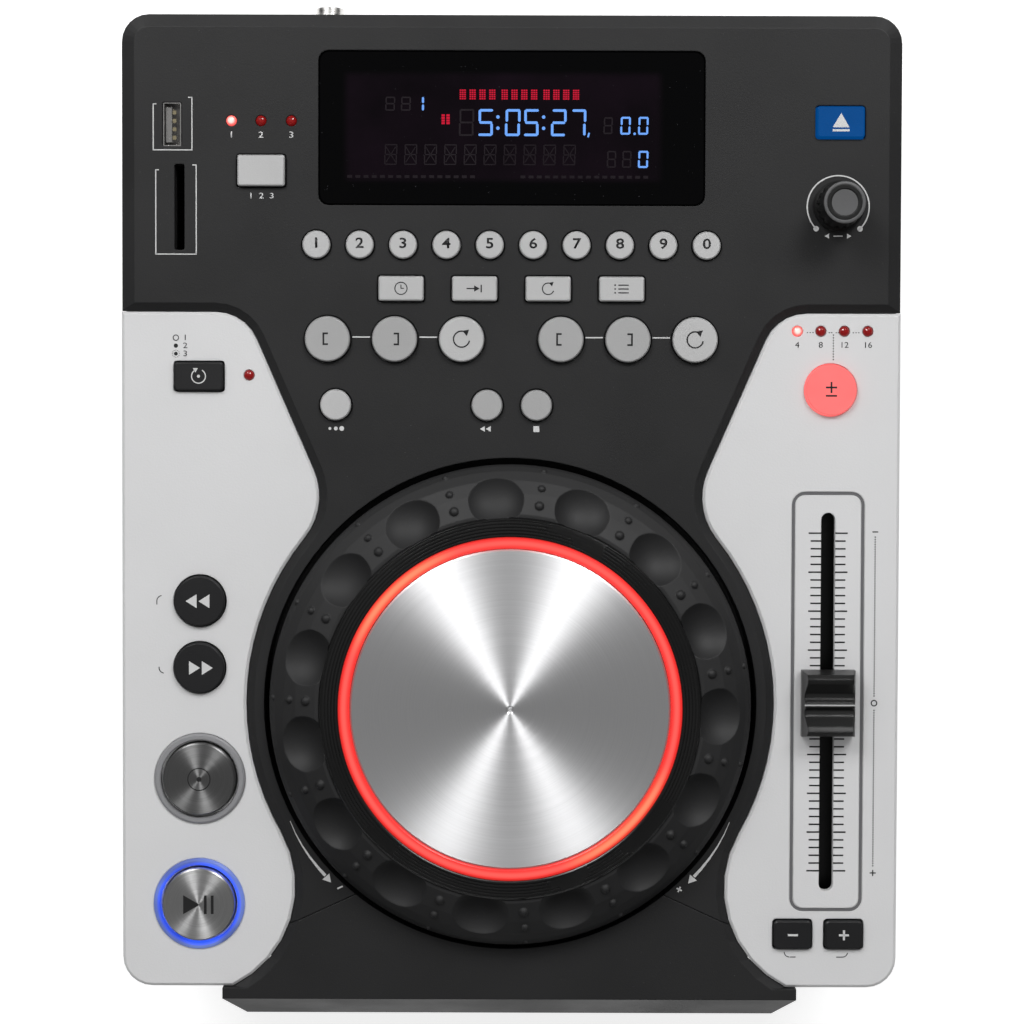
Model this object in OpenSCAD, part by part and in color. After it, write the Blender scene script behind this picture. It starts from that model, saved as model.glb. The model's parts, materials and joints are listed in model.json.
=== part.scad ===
// Tabletop disc player with a large jog wheel, a pitch fader and a front disc tray.
// Millimetres, +Z up, front towards -Y, origin under the middle of the outline.
// Controls are laid out on the sloping deck: x and y run along it and z square to it.
// The deck's own origin is on its centre line, and z = 0 is its raised black surface.

/* [Housing] */
// Width over the two silver cheeks
body_w = 224.5; // [222:0.5:240]
// Distance from the deck origin to the rear edge
deck_rear = 142.6; // [141:0.2:156]
// Distance from the deck origin to the front edge of the cheeks
deck_front = 138.1; // [137:0.1:139.6]
// Slope of the deck, higher at the back
deck_tilt = 3; // [2.4:0.1:3.6]
// Height of the raised surface at the deck origin
deck_z = 91; // [90:0.5:100]
// Thickness of the black deck moulding
plate_t = 4.5; // [4:0.1:5.4]
// Depth of the outer skirts below the raised surface
skirt_h = 36; // [30:0.5:38]
// Thickness of the moulded side walls
wall_t = 2.5; // [2:0.1:3]
// Corner radius at the back, seen from above
corner_r = 7.9; // [6.4:0.1:11]
// Height of the bevel round the raised surface
bevel_h = 2; // [1.7:0.1:2.4]
// Width of that bevel at the back and the sides
bevel_w = 3.8; // [2.5:0.1:4.6]
// Width of that bevel along the cheeks
bevel_in = 2.3; // [1.5:0.1:3]

/* [Cheeks] */
// Rear edge of the cheeks on the deck
cheek_top = 57.6; // [57.4:0.1:58.2]
// Thickness of the cheek panels
cheek_t = 3; // [2.4:0.1:3.4]
// How far the cheek surface lies below the raised surface
cheek_drop = 1.6; // [1.2:0.1:1.7]
// Width and height of the eased edge of a cheek
cheek_edge = 0.8; // [0.4:0.1:1]
// Radius of the outer front corners
cheek_corner_r = 8.6; // [6:0.1:12]
// Centre of the shoulder curve from the centre line
shoulder_x = 85.2; // [84:0.1:87]
// Radius of the shoulder curve
shoulder_r = 13.1; // [12:0.1:14]
// Radius of the cheek's tip above the jog wheel
tip_r = 19.3; // [18.6:0.1:20]
// Direction of the tip from the jog wheel's centre
tip_a = 141.2; // [140.6:0.1:141.8]
// Radius of the bulge beside the front corner of the jog wheel
bulge_r = 32.4; // [31.6:0.1:33.2]
// Direction of the bulge from the jog wheel's centre
bulge_a = 209.6; // [209.2:0.1:210]
// Black band between the jog recess and the cheeks
neck_w = 5.1; // [4.7:0.1:5.4]
// Ledge of the deck moulding under the cheek's inner edge
lap_w = 2.2; // [1.8:0.1:2.4]
// Gap between two fixed panels
seam = 0.2; // [0.15:0.05:0.3]

/* [Front fascia] */
// Width of the black fascia block
fascia_w = 166.4; // [164:0.2:170]
// How far its top edge lies in front of the cheeks
nose_top = 3.3; // [2.8:0.1:5]
// How far the sloping nose comes forward
nose_out = 8.5; // [6:0.1:11]
// Depth of the sloping nose
nose_drop = 20; // [16:0.5:26]
// Corner cut of the nose, seen from above
nose_cut = 5.2; // [3:0.1:8]
// Wall of the fascia
fascia_t = 3; // [2.6:0.1:3.4]
// Half the distance between the inner ends of the two seams
seam_x = 44.6; // [42:0.2:48]
// Slope of the seams beside the jog wheel
seam_a = 24.7; // [23:0.1:27]

/* [Bottom case] */
// Height of the rubber feet
foot_h = 6; // [5:0.5:10]
// Radius of the rubber feet
foot_r = 9; // [7:0.5:11]
// Sheet thickness of the bottom case
sheet_t = 2; // [1.5:0.1:2.2]
// How far the bottom case reaches up inside the skirts
case_lap = 7; // [5:0.5:10]
// Gap between the bottom case and the skirts
case_gap = 0.5; // [0.3:0.1:0.8]
// Corner radius of the bottom case
case_r = 6; // [4:0.5:8]
// Shank radius of the case screws
screw_r = 1.45; // [1.2:0.05:1.6]
// Head radius of the case screws
screw_head_r = 2.9; // [2.6:0.1:3.4]

/* [Jog wheel] */
// Jog wheel centre on the deck
jog_y = -55.5; // [-55.8:0.1:-55]
// Outer radius of the rubber rim
jog_r = 69.2; // [68.6:0.1:69.6]
// Gap round the rim
well_gap = 1.9; // [1.5:0.1:2.2]
// Depth of the recess
well_d = 14; // [13:0.5:18]
// Wall and floor of the recess
well_t = 2.2; // [1.8:0.1:2.4]
// Height of the steel plate's face above the deck
jog_h = 15; // [14:0.2:17]
// Thickness of the steel plate
plate_disc_t = 3; // [2:0.1:3.4]
// Gap between the steel plate and the lit ring
plate_gap = 0.2; // [0.1:0.05:0.4]
// Width of the lit ring
light_w = 3.2; // [2.6:0.1:3.8]
// Outer radius of the grooved bezel
bezel_r = 54.2; // [52:0.1:55]
// Width of the grooved bezel
bezel_w = 5.4; // [4.6:0.1:6.2]
// Number of grooves in the bezel
groove_n = 5; // [3:1:6]
// Finger dimples in the rim
dimple_n = 15; // [12:1:18]
// Radius of the ball that shapes one dimple
dimple_r = 11; // [9:0.5:12]
// Depth of a dimple
dimple_d = 3.1; // [2:0.1:3.6]
// Radius of the jog spindle
spindle_r = 4; // [3:0.1:5]

/* [Display] */
// Window size along the deck's width
window_w = 110.6; // [104:0.2:114]
// Window size along the deck's depth
window_l = 43.9; // [40:0.1:45]
// Window centre on the deck
window_y = 110.1; // [109.6:0.1:111]
// Corner radius of the window
window_r = 2.9; // [2:0.1:4]
// Thickness of the window
window_t = 2; // [1.5:0.1:2.4]

/* [Keys] */
// Gap between a key and its hole
key_gap = 0.4; // [0.3:0.05:0.5]
// Travel of a key
key_travel = 1.2; // [0.8:0.1:1.4]
// Radius of the number keys
num_r = 4; // [3.4:0.1:4.3]
// Spacing of the number keys
num_step = 12.44; // [12:0.02:12.6]
// Row of the number keys
num_y = 76.6; // [76.2:0.1:77]
// Width of the function keys
func_w = 13; // [11:0.1:14]
// Depth of the function keys
func_l = 7.1; // [6:0.1:7.6]
// Spacing of the function keys
func_step = 21.1; // [20:0.1:22]
// Row of the function keys
func_y = 64.1; // [63.6:0.1:64.4]
// Radius of the loop keys
loop_r = 6.5; // [5.6:0.1:6.9]
// Spacing of the loop keys within a group
loop_step = 19.25; // [18:0.05:19.6]
// Middle of a loop group from the centre line
loop_x = 33.5; // [33:0.1:34]
// Row of the loop keys
loop_y = 49.6; // [49:0.1:50]
// Radius of the tap, reverse and brake keys
small_r = 4.45; // [3.8:0.05:4.9]
// Row of the tap, reverse and brake keys
small_y = 30.7; // [30:0.1:31.5]
// Width of the source and eject keys
wide_w = 13.6; // [12:0.1:14.4]
// Depth of the source and eject keys
wide_l = 8.9; // [8:0.1:9.4]
// Width of the jog mode key
mode_w = 14; // [12:0.1:14.6]
// Depth of the jog mode key
mode_l = 8.2; // [7:0.1:9]
// Radius of the search and pitch range keys
round_r = 7.3; // [6.6:0.1:7.8]
// Radius of the cue and play keys
play_r = 10.4; // [9.6:0.1:10.8]
// Outer radius of the rings round cue and play
ring_r = 13.1; // [12.4:0.1:13.6]
// Inner radius of those rings
ring_in = 11.2; // [11.2:0.1:11.8]
// Width of the pitch step keys
step_w = 10.9; // [10:0.1:11.6]
// Depth of the pitch step keys
step_l = 8.25; // [7.4:0.05:9]
// Radius of the indicator lamps
lamp_r = 1.5; // [1.2:0.1:1.8]

/* [Pitch fader and knob] */
// Fader line from the centre line
fader_x = 91.7; // [91.4:0.1:92]
// Middle of the fader slot on the deck
fader_y = -54.9; // [-55.4:0.1:-54.4]
// Length of the fader slot
slot_l = 109.8; // [104:0.2:112]
// Width of the fader slot
slot_w = 4.1; // [3.6:0.1:4.6]
// Width of the fader cap
cap_w = 15.4; // [13:0.2:17]
// Length of the fader cap
cap_l = 19.2; // [17:0.2:21]
// Height of the fader cap over the cheek
cap_h = 10; // [9:0.2:12]
// Base radius of the select knob
knob_r = 7.2; // [6.6:0.1:7.6]
// Height of the select knob
knob_h = 15; // [12:0.5:17]
// Ribs round the select knob
knob_ribs = 18; // [12:1:24]

/* [Disc loader] */
// Width of the disc tray
tray_w = 128; // [126:0.5:130]
// Thickness of the disc tray
tray_t = 7; // [6.6:0.1:7.4]
// Underside of the disc tray above the ground
tray_z = 33; // [32:0.5:36]
// Radius of the disc recess in the tray
recess_r = 60.4; // [60.2:0.1:60.8]
// Depth of the disc recess
recess_d = 4.5; // [4.2:0.1:4.8]
// Width of the slot for turntable and laser sled
tray_slot = 44; // [42:0.5:50]
// Radius of the guide rods
rod_r = 1.5; // [1.2:0.05:1.8]
// Radius of the turntable shaft
shaft_r = 1.2; // [1:0.05:1.5]
// Running clearance of shafts and rods
run_fit = 0.05; // [0.03:0.01:0.08]

/* [Sockets] */
// Barrel radius of the phono sockets
phono_r = 4.15; // [4.1:0.05:4.2]
// Bore radius of the phono sockets
phono_bore = 1.65; // [1.6:0.05:1.7]
// Length of the phono barrels
phono_l = 9.5; // [8.5:0.1:10.5]
// Distance between the two stacked phono sockets
phono_step = 14; // [13:0.1:15]
// Hole radius of the remote start jack
jack_r = 1.75; // [1.7:0.05:1.8]
// Width of the USB socket's mouth
usb_w = 12; // [11.8:0.1:12.2]
// Width of the memory card slot
card_w = 24.6; // [24.4:0.1:24.8]

/* [Hidden] */
$fn = 64;
half_w = body_w / 2;
black_w = half_w - seam;
cs = cos(deck_tilt);
sn = sin(deck_tilt);
jog_c = [0, jog_y];
well_r = jog_r + well_gap;
waist_r = well_r + neck_w;
c_shoulder = [-shoulder_x, cheek_top - shoulder_r];
c_tip = jog_c + (waist_r + tip_r) * [cos(tip_a), sin(tip_a)];
c_bulge = jog_c + (waist_r + bulge_r) * [cos(bulge_a), sin(bulge_a)];
tip_dir = c_tip - c_shoulder;
// Direction of the straight flank's normal between shoulder and tip
flank_a = atan2(tip_dir.y, tip_dir.x) + acos((shoulder_r - tip_r) / norm(tip_dir));
cheek_z = -cheek_drop;
cheek_under = -cheek_drop - cheek_t;
flange_t = 1;
flange_w = 1;
flange_gap = 0.2;
stem_l = 1.5;
stem_r = 1.5;
key_edge = 0.35;
big = 400;
// Top face of the circuit boards behind the deck
board_top = -plate_t - 7.2;
board_t = 1.6;
switch_w = 6;
// Bottom case limits before the outline is centred
case_hw = half_w - wall_t - case_gap;
case_rear = (deck_rear - wall_t) * cs + (skirt_h - case_lap) * sn - case_gap;
case_front = -(deck_front - wall_t) * cs + skirt_h * sn + case_gap;
nose_y = deck_front + nose_top + nose_out;
rear_end = case_rear + phono_l;
front_end = -nose_y * cs + nose_drop * sn;
shift_y = -(rear_end + front_end) / 2;
// Disc loader
disc_y = -72;
tray_front = -141;
tray_rear = 22;
tray_top = tray_z + tray_t;
hub_z = tray_top - recess_d + 1;
slot_zlow = tray_z - 6.5;
slot_ztop = tray_top + 4.5;
mouth_w = tray_w + 7;
mouth_gap = 0.3;
rail_in = tray_w / 2 - 3;
rail_gap = 0.3;
frame_in = tray_w / 2 + 0.5;
frame_t = 2;
frame_z = foot_h + sheet_t + 4;
frame_rear = 60;
frame_front = -131;
frame_top = tray_top + 8;
hub_r = 15;
clamp_hole_r = 12;
rod_x = 17;
rod_h = tray_z - 7.5;
sled_y = disc_y + 14;
sled_l = 26;
sled_travel = 34;
rod_y0 = disc_y + 9.5;
rod_y1 = sled_y + sled_l + sled_travel + 5;
// Sockets in the rear wall
sockets_z = foot_h + 32;
phono_x = -54.5;
phono_z = sockets_z + 21;
jack_x = -30;
rocker_x = 45;
rocker_y = case_rear - 3.5;
rocker_pin_r = 1.2;
inlet_x = 80;
inlet_pts = [[-11.3, -7.8], [11.3, -7.8], [11.3, 3.8], [7.3, 7.8], [-7.3, 7.8], [-11.3, 3.8]];
// Underside of the jog wheel's plate, lit ring and bezel
seat_z = jog_h - plate_disc_t;
rim_top = jog_h - 1.4;
light_out = bezel_r - bezel_w;
light_in = light_out - light_w;
disc_plate_r = light_in - plate_gap;
dimple_row_r = (bezel_r + jog_r) / 2 + 0.5;
dimple_top = 11;
// Boss that the jog spindle stands on, and the shaft of the select knob
boss_r = 9;
knob_shaft_r = 3;
// Posts for the case screws and for the boards
case_post_r = 4;
side_post_r = 2.5;
side_pilot_r = 1.1;
deck_post_r = 3;
deck_pilot_r = 1.2;
// Reach of the boards to either side
board_x = half_w - 4.25;
track_l = slot_l + 12;
track_top = cheek_under;
key_tone = "#c9c9cb";

// ---- places of the controls on the deck ----
function num_x(i) = (i - 4.5) * num_step;
function func_x(i) = (i - 1.5) * func_step;
// Loop keys 0 to 2 are the left group, 3 to 5 the right one
function loop_px(i) = (i < 3 ? -loop_x : loop_x) + (i % 3 - 1) * loop_step;
small_x = [-50.4, -6.9, 7.3];
source_p = [-71.8, 97.7];
eject_p = [94.2, 112];
knob_p = [93.7, 87.9];
usb_p = [-97.4, 110.9];
card_p = [-95.3, 87.3];
mode_p = [-89.9, 38.8];
range_p = [92.1, 35.4];
search_p = [[-89.7, -26], [-89.8, -45.3]];
cue_p = [-89.8, -77.5];
play_p = [-90, -113.9];
step_y = fader_y - slot_l / 2 - 12.6;
step_p = [[82.1, step_y], [96.9, step_y]];
deck_lamps = [[-80.4, 112], [-71.9, 112], [-63.2, 112]];
mode_lamp = [-75.5, 39.2];
pitch_lamps = [for (i = [0:3]) [82.4 + 6.77 * i, 52.3]];
board_posts = [[-62, 136], [62, 136], [2 - board_x, 66], [board_x - 2, 66], [-22, 57], [22, 57]];
side_posts = [[5 - board_x, 46], [5 - board_x, -60], [5 - board_x, -93], [1.8 - board_x, step_y + 0.4]];
rear_post = [-half_w + 12, deck_rear - 13];
front_post = [-half_w + 9.4, -deck_front + 34.1];
case_posts = [
    rear_post, front_post, [-rear_post.x, rear_post.y], [-front_post.x, front_post.y]
];

// ---- geometry helpers ----
function arc(c, r, a0, a1, n) =
    [for (i = [0:n]) c + r * [cos(a0 + (a1 - a0) * i / n), sin(a0 + (a1 - a0) * i / n)]];
function tail(v) = [for (i = [1:len(v) - 1]) v[i]];
function turned(v) = [for (i = [len(v) - 1:-1:0]) v[i]];
function flipped(v) = [for (p = turned(v)) [-p.x, p.y]];
function rrect(w, l, r) = concat(
    arc([w / 2 - r, l / 2 - r], r, 0, 90, 4),
    arc([-w / 2 + r, l / 2 - r], r, 90, 180, 4),
    arc([-w / 2 + r, -l / 2 + r], r, 180, 270, 4),
    arc([w / 2 - r, -l / 2 + r], r, 270, 360, 4));

// Inner contour of the left cheek from back to front, moved d towards the centre,
// and ending f behind the cheeks' front edge
function bulge_end(d, f) = asin((-deck_front + f - c_bulge.y) / (bulge_r + d));
function waist(d, f) = concat(
    arc(c_shoulder, shoulder_r + d, 90, flank_a, 5),
    arc(c_tip, tip_r + d, flank_a, tip_a - 180, 7),
    tail(arc(jog_c, waist_r - d, tip_a, bulge_a, 16)),
    tail(arc(c_bulge, bulge_r + d, bulge_a - 180, bulge_end(d, f), 8)));

// Outline of all that is black from above, d in from the cheeks and e in from outside
function black_half(d, e) = concat(
    arc([-black_w + corner_r, deck_rear - corner_r], corner_r - e, 90, 180, 6),
    [[-black_w + e, cheek_top + d]],
    waist(d, -0.4 * d),
    [[waist(d, -0.4 * d)[36].x, -deck_front - nose_top / 2]]);
function black_outline(d, e) = concat(black_half(d, e), flipped(black_half(d, e)));

// Outline of the left cheek, its inner contour moved by d and its outer sides in by e
function cheek_outline(d, e) = concat(
    [[-half_w + e, cheek_top + d]],
    arc([-half_w + cheek_corner_r, -deck_front + cheek_corner_r], cheek_corner_r - e, 180, 270, 6),
    turned(waist(d, e)));

// Solid through outlines of as many points each, given as [outline, height] from below
module loft(list) {
    n = len(list[0][0]);
    m = len(list);
    polyhedron(
        points = [for (l = list, p = l[0]) [p.x, p.y, l[1]]],
        faces = concat(
            [[for (i = [0:n - 1]) i]],
            [[for (i = [n - 1:-1:0]) (m - 1) * n + i]],
            [for (k = [0:m - 2], i = [0:n - 1]) [k * n + i, k * n + n + i, k * n + n + (i + 1) % n]],
            [for (k = [0:m - 2], i = [0:n - 1])
                [k * n + i, k * n + n + (i + 1) % n, k * n + (i + 1) % n]]));
}

module prism(pts, z0, z1) {
    translate([0, 0, z0])
        linear_extrude(z1 - z0)
            polygon(pts);
}

module rod_z(p, r, z0, z1) {
    translate([p.x, p.y, z0])
        cylinder(h = z1 - z0, r = r);
}

// Box from its two corners
module span(a, b) {
    translate(a)
        cube(b - a);
}

module on_base() {
    translate([0, shift_y, 0])
        children();
}

module deck_frame() {
    translate([0, 0, deck_z])
        rotate([deck_tilt, 0, 0])
            children();
}

module on_deck() {
    on_base() deck_frame() children();
}

module both_sides() {
    children();
    mirror([1, 0, 0])
        children();
}

// ---- black upper housing ----
// All that is black from above, down to depth z0, with the bevel round its top
module plateau(z0) {
    k = 1 + 0.4 / bevel_h;
    intersection() {
        span([-big / 2, -big / 2, z0], [big / 2, big / 2, 0]);
        loft([
            [black_outline(0, 0), z0 - 1], [black_outline(0, 0), -bevel_h],
            [black_outline(k * bevel_in, k * bevel_w), 0.4]
        ]);
    }
}

// Everything in front of the two seams beside the jog wheel, moved back by s
module front_zone(s) {
    y0 = jog_y - sqrt(well_r * well_r - seam_x * seam_x) + s;
    far = half_w + 10;
    y1 = y0 - (far - seam_x) * tan(seam_a);
    translate([0, 0, -big / 2])
        linear_extrude(big)
            polygon([
                [-far, y1], [-seam_x, y0], [0, y0 + 20], [seam_x, y0], [far, y1], [far, -big], [-far, -big]
            ]);
}

module key_holes_round(list, r, z0) {
    for (p = list)
        rod_z(p, r + key_gap, z0, 1);
}

module rect_hole(p, w, l, r, z0) {
    translate([p.x, p.y, 0])
        prism(rrect(w, l, r), z0, 1);
}

module deck_openings() {
    z0 = -plate_t - 2;
    key_holes_round([for (i = [0:9]) [num_x(i), num_y]], num_r, z0);
    key_holes_round([for (i = [0:5]) [loop_px(i), loop_y]], loop_r, z0);
    key_holes_round([for (x = small_x) [x, small_y]], small_r, z0);
    for (i = [0:3])
        rect_hole([func_x(i), func_y], func_w + 2 * key_gap, func_l + 2 * key_gap, 1, z0);
    rect_hole(source_p, wide_w + 2 * key_gap, wide_l + 2 * key_gap, 1, z0);
    rect_hole(eject_p, wide_w + 2 * key_gap, wide_l + 2 * key_gap, 1, z0);
    for (p = deck_lamps)
        rod_z(p, lamp_r + 0.1, z0, 1);
    rod_z(knob_p, knob_shaft_r + 0.5, z0, 1);
    rect_hole(usb_p, 5.6, usb_w + 0.6, 0.5, z0);
    rect_hole(card_p, 2.9, card_w, 0.6, z0);
    rect_hole([0, window_y], window_w + 2 * seam, window_l + 2 * seam, window_r, -window_t - 0.3);
    rect_hole([0, window_y], window_w - 5, window_l - 5, 1, z0);
    rod_z(jog_c, well_r, z0 - 1, 1);
}

// Space inside the housing's rear walls, and all that lies in front of them
module under_space() {
    r = corner_r - wall_t;
    corner = arc([-black_w + corner_r, deck_rear - corner_r], r, 90, 180, 6);
    sides = [[-black_w + wall_t, 0], [black_w - wall_t, 0]];
    prism(concat(corner, sides, flipped(corner)), -big / 2, -plate_t);
    span([-big / 2, -big / 2, -big / 2], [big / 2, cheek_top + seam, -plate_t]);
}

// Band along the left cheek's contour, from d0 to d1 towards the centre
function band(d0, d1) = concat(
    [[-half_w + wall_t + seam, cheek_top + d0]], waist(d0, 0), turned(waist(d1, 0)),
    [[-half_w + wall_t + seam, cheek_top + d1]]);

// Ledge that carries the cheeks' inner edges
module cheek_ledge() {
    both_sides() {
        prism(band(-lap_w, 2), cheek_under - 1.6, cheek_under);
        prism(band(0.4, 2), cheek_under - 0.8, -plate_t + 0.5);
    }
}

// Recess of the jog wheel with the boss that its spindle stands on
module jog_well() {
    translate([0, jog_y, 0])
        rotate_extrude()
            polygon([
                [0, -well_d - well_t], [well_r + well_t, -well_d - well_t], [well_r + well_t, -plate_t],
                [well_r, -plate_t], [well_r, -well_d], [boss_r, -well_d], [boss_r, -well_d + 1],
                [0, -well_d + 1]
            ]);
}

// Post that a case screw enters from below, cut off under the moulding
module case_post(p, under) {
    intersection() {
        rod_z(p, case_post_r, foot_h + sheet_t, deck_z + 20);
        below_deck(under);
    }
}

module post_pilot(p) {
    rod_z(p, screw_r + run_fit, foot_h, foot_h + sheet_t + 14);
}

// Everything under the plane z of the deck frame
module below_deck(z) {
    deck_frame()
        translate([-big / 2, -big / 2, z - big])
            cube([big, big, big]);
}

module top_deck() {
    color("#2b2b2d")
        on_base()
            difference() {
                union() {
                    deck_frame() {
                        difference() {
                            plateau(-skirt_h);
                            under_space();
                            front_zone(seam / 2);
                            deck_openings();
                        }
                        difference() {
                            cheek_ledge();
                            front_zone(2);
                        }
                        jog_well();
                        for (p = board_posts)
                            rod_z(p, deck_post_r, board_top, -plate_t);
                    }
                    both_sides()
                        case_post(rear_post, -plate_t);
                }
                both_sides()
                    post_pilot(rear_post);
                deck_frame()
                    for (p = board_posts)
                        rod_z(p, deck_pilot_r, board_top - 1, board_top + 6);
                phono_holes(0.5);
            }
}

// ---- silver cheeks ----
module cheek_body() {
    k = 1 + 0.4 / cheek_edge;
    corner = [-half_w + cheek_corner_r, -deck_front + cheek_corner_r];
    difference() {
        intersection() {
            span([-big / 2, -big / 2, -skirt_h], [0, big / 2, cheek_z]);
            loft([
                [cheek_outline(-seam, 0), -skirt_h - 1], [cheek_outline(-seam, 0), cheek_z - cheek_edge],
                [cheek_outline(-seam - k * cheek_edge, k * cheek_edge), cheek_z + 0.4]
            ]);
        }
        prism(
            concat(
                [[-half_w + wall_t, cheek_top + 5]],
                arc(corner, cheek_corner_r - wall_t, 180, 270, 6),
                [[0, -deck_front + wall_t], [0, cheek_top + 5]]),
            -big / 2, cheek_under);
    }
    for (p = side_posts)
        rod_z(p, side_post_r, board_top, cheek_under);
}

module cheek_with_posts() {
    difference() {
        union() {
            deck_frame() cheek_body();
            case_post(front_post, cheek_under);
        }
        post_pilot(front_post);
        deck_frame()
            for (p = side_posts)
                rod_z(p, side_pilot_r, board_top - 1, board_top + 4);
    }
}

module left_cheek() {
    z0 = cheek_under - 2;
    color("#d4d4d6")
        on_base()
            difference() {
                cheek_with_posts();
                deck_frame() {
                    rect_hole(mode_p, mode_w + 2 * key_gap, mode_l + 2 * key_gap, 1, z0);
                    key_holes_round(search_p, round_r, z0);
                    key_holes_round([cue_p, play_p], play_r, z0);
                    for (p = [cue_p, play_p])
                        rod_z(p, ring_r + 0.1, cheek_z - 1.2, 1);
                    rod_z(mode_lamp, lamp_r + 0.1, z0, 1);
                }
            }
}

module right_cheek() {
    z0 = cheek_under - 2;
    color("#d4d4d6")
        on_base()
            difference() {
                mirror([1, 0, 0])
                    cheek_with_posts();
                deck_frame() {
                    key_holes_round([range_p], round_r, z0);
                    for (p = step_p)
                        rect_hole(p, step_w + 2 * key_gap, step_l + 2 * key_gap, 1.2, z0);
                    for (p = pitch_lamps)
                        rod_z(p, lamp_r + 0.1, z0, 1);
                    translate([fader_x, fader_y, 0]) {
                        prism(rrect(slot_w, slot_l, slot_w / 2 - 0.05), z0, 1);
                        difference() {
                            prism(rrect(21.2, slot_l + 12.2, 3.9), cheek_z - 0.35, 1);
                            prism(rrect(18.9, slot_l + 9.9, 2.8), cheek_z - 1, 1);
                        }
                    }
                }
            }
}

// ---- front fascia with its nose ----
module nose_profile(z_low) {
    polygon([
        [-deck_front - seam, 0], [-deck_front - nose_top, 0], [-nose_y, -nose_drop],
        [-nose_y + 1, z_low], [-deck_front - seam, z_low]
    ]);
}

// The nose without its tray mouth, in the frame before the outline is centred
module nose_block() {
    x = fascia_w / 2;
    y0 = deck_front + nose_top;
    y1 = nose_y * cs - nose_drop * sn;
    intersection() {
        deck_frame()
            rotate([90, 0, 90])
                translate([0, 0, -x])
                    linear_extrude(fascia_w)
                        nose_profile(-deck_z);
        translate([0, 0, foot_h + 2])
            linear_extrude(deck_z)
                polygon([
                    [-x, 0], [-x, -y0 * cs], [-x + nose_cut, -y1],
                    [x - nose_cut, -y1], [x, -y0 * cs], [x, 0]
                ]);
    }
}

module nose_hollow() {
    x = fascia_w / 2 - nose_cut - 0.5;
    deck_frame()
        rotate([90, 0, 90])
            translate([0, 0, -x])
                linear_extrude(2 * x)
                    polygon([
                        [-deck_front, -plate_t], [-deck_front - nose_top + fascia_t - 2, -plate_t],
                        [-nose_y + fascia_t, -nose_drop - 1], [-nose_y + 1 + fascia_t, -deck_z - 10],
                        [-deck_front, -deck_z - 10]
                    ]);
}

module front_fascia() {
    color("#1f1f21")
        on_base()
            difference() {
                union() {
                    deck_frame()
                        difference() {
                            intersection() {
                                plateau(-plate_t);
                                front_zone(-seam / 2);
                            }
                            rod_z(jog_c, well_r, -plate_t - 1, 1);
                        }
                    difference() {
                        nose_block();
                        nose_hollow();
                    }
                }
                span([-mouth_w / 2, -big / 2, slot_zlow], [mouth_w / 2, case_front + 5, slot_ztop]);
                both_sides()
                    deck_frame()
                        translate([1.3, -nose_y - 1, -nose_drop + 4])
                            rotate([90 - atan2(nose_out, nose_drop), 0, 0])
                                translate([-0.25, -2, -2])
                                    cube([0.5, 12, 3]);
            }
}

// Round cuts for the phono barrels, with gap g
module phono_holes(g) {
    for (i = [0, 1])
        translate([phono_x, case_rear, phono_z - 7 + i * phono_step])
            rotate([90, 0, 0])
                cylinder(h = 12, r = phono_r + g, center = true);
}

// ---- bottom case ----
function case_outline(g) = [for (p = rrect(2 * (case_hw - g), case_rear - case_front - 2 * g, case_r - g))
    p + [0, (case_rear + case_front) / 2]];

module bottom_case() {
    z0 = foot_h;
    z1 = foot_h + sheet_t;
    x_pad = frame_in - 6.5;
    loader_pads = [for (x = [-x_pad, x_pad], y = [frame_front + 12, frame_rear - 12]) [x, y]];
    color("#27272a")
        on_base()
            difference() {
                union() {
                    difference() {
                        intersection() {
                            prism(case_outline(0), z0, deck_z);
                            below_deck(-skirt_h + case_lap);
                        }
                        prism(case_outline(sheet_t), z1, deck_z + 20);
                    }
                    for (p = loader_pads)
                        rod_z(p, 4, z1 - 0.5, frame_z);
                }
                span(
                    [-mouth_w / 2 - 1, case_front - 5, slot_zlow - 1],
                    [mouth_w / 2 + 1, case_front + 10, slot_ztop + 1]);
                for (p = case_posts)
                    rod_z(p, screw_r + 0.25, z0 - 1, z1 + 0.5);
                phono_holes(0.25);
                translate([jack_x, case_rear, sockets_z])
                    rotate([90, 0, 0])
                        cylinder(h = 10, r = 3.6, center = true);
                translate([rocker_x, case_rear, sockets_z])
                    cube([13.4, 10, 19.4], center = true);
                translate([inlet_x, case_rear, sockets_z])
                    cube([27.4, 10, 19.9], center = true);
                for (i = [0:9])
                    translate([0, 20 + 9 * i, foot_h + 24])
                        cube([big, 2.5, 18], center = true);
            }
}

module rubber_feet() {
    color("#18181a")
        on_base()
            for (x = [-1, 1], y = [case_front + 20, case_rear - 20])
                translate([x * (case_hw - 18), y, 0])
                    rotate_extrude()
                        polygon([[0, 0], [foot_r - 1, 0], [foot_r, 1], [foot_r, foot_h], [0, foot_h]]);
}

module case_screws() {
    color("#8d8d90")
        on_base() {
            for (p = case_posts)
                translate([p.x, p.y, 0])
                    difference() {
                        rotate_extrude()
                            polygon([
                                [0, foot_h - 1.9], [screw_head_r - 0.6, foot_h - 1.9],
                                [screw_head_r, foot_h - 1.2], [screw_head_r, foot_h], [screw_r, foot_h],
                                [screw_r, foot_h + sheet_t + 10], [0, foot_h + sheet_t + 10]
                            ]);
                        for (a = [0, 90])
                            rotate(a)
                                translate([0, 0, foot_h - 1.9])
                                    cube([3, 0.7, 2], center = true);
                    }
            for (x = [-1, 1])
                translate([inlet_x + x * 20, case_rear + 2, sockets_z])
                    rotate([-90, 0, 0])
                        rotate_extrude()
                            polygon([[0, 0], [2.6, 0], [2.6, 0.6], [1.6, 1.5], [0, 1.5]]);
        }
}

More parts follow.
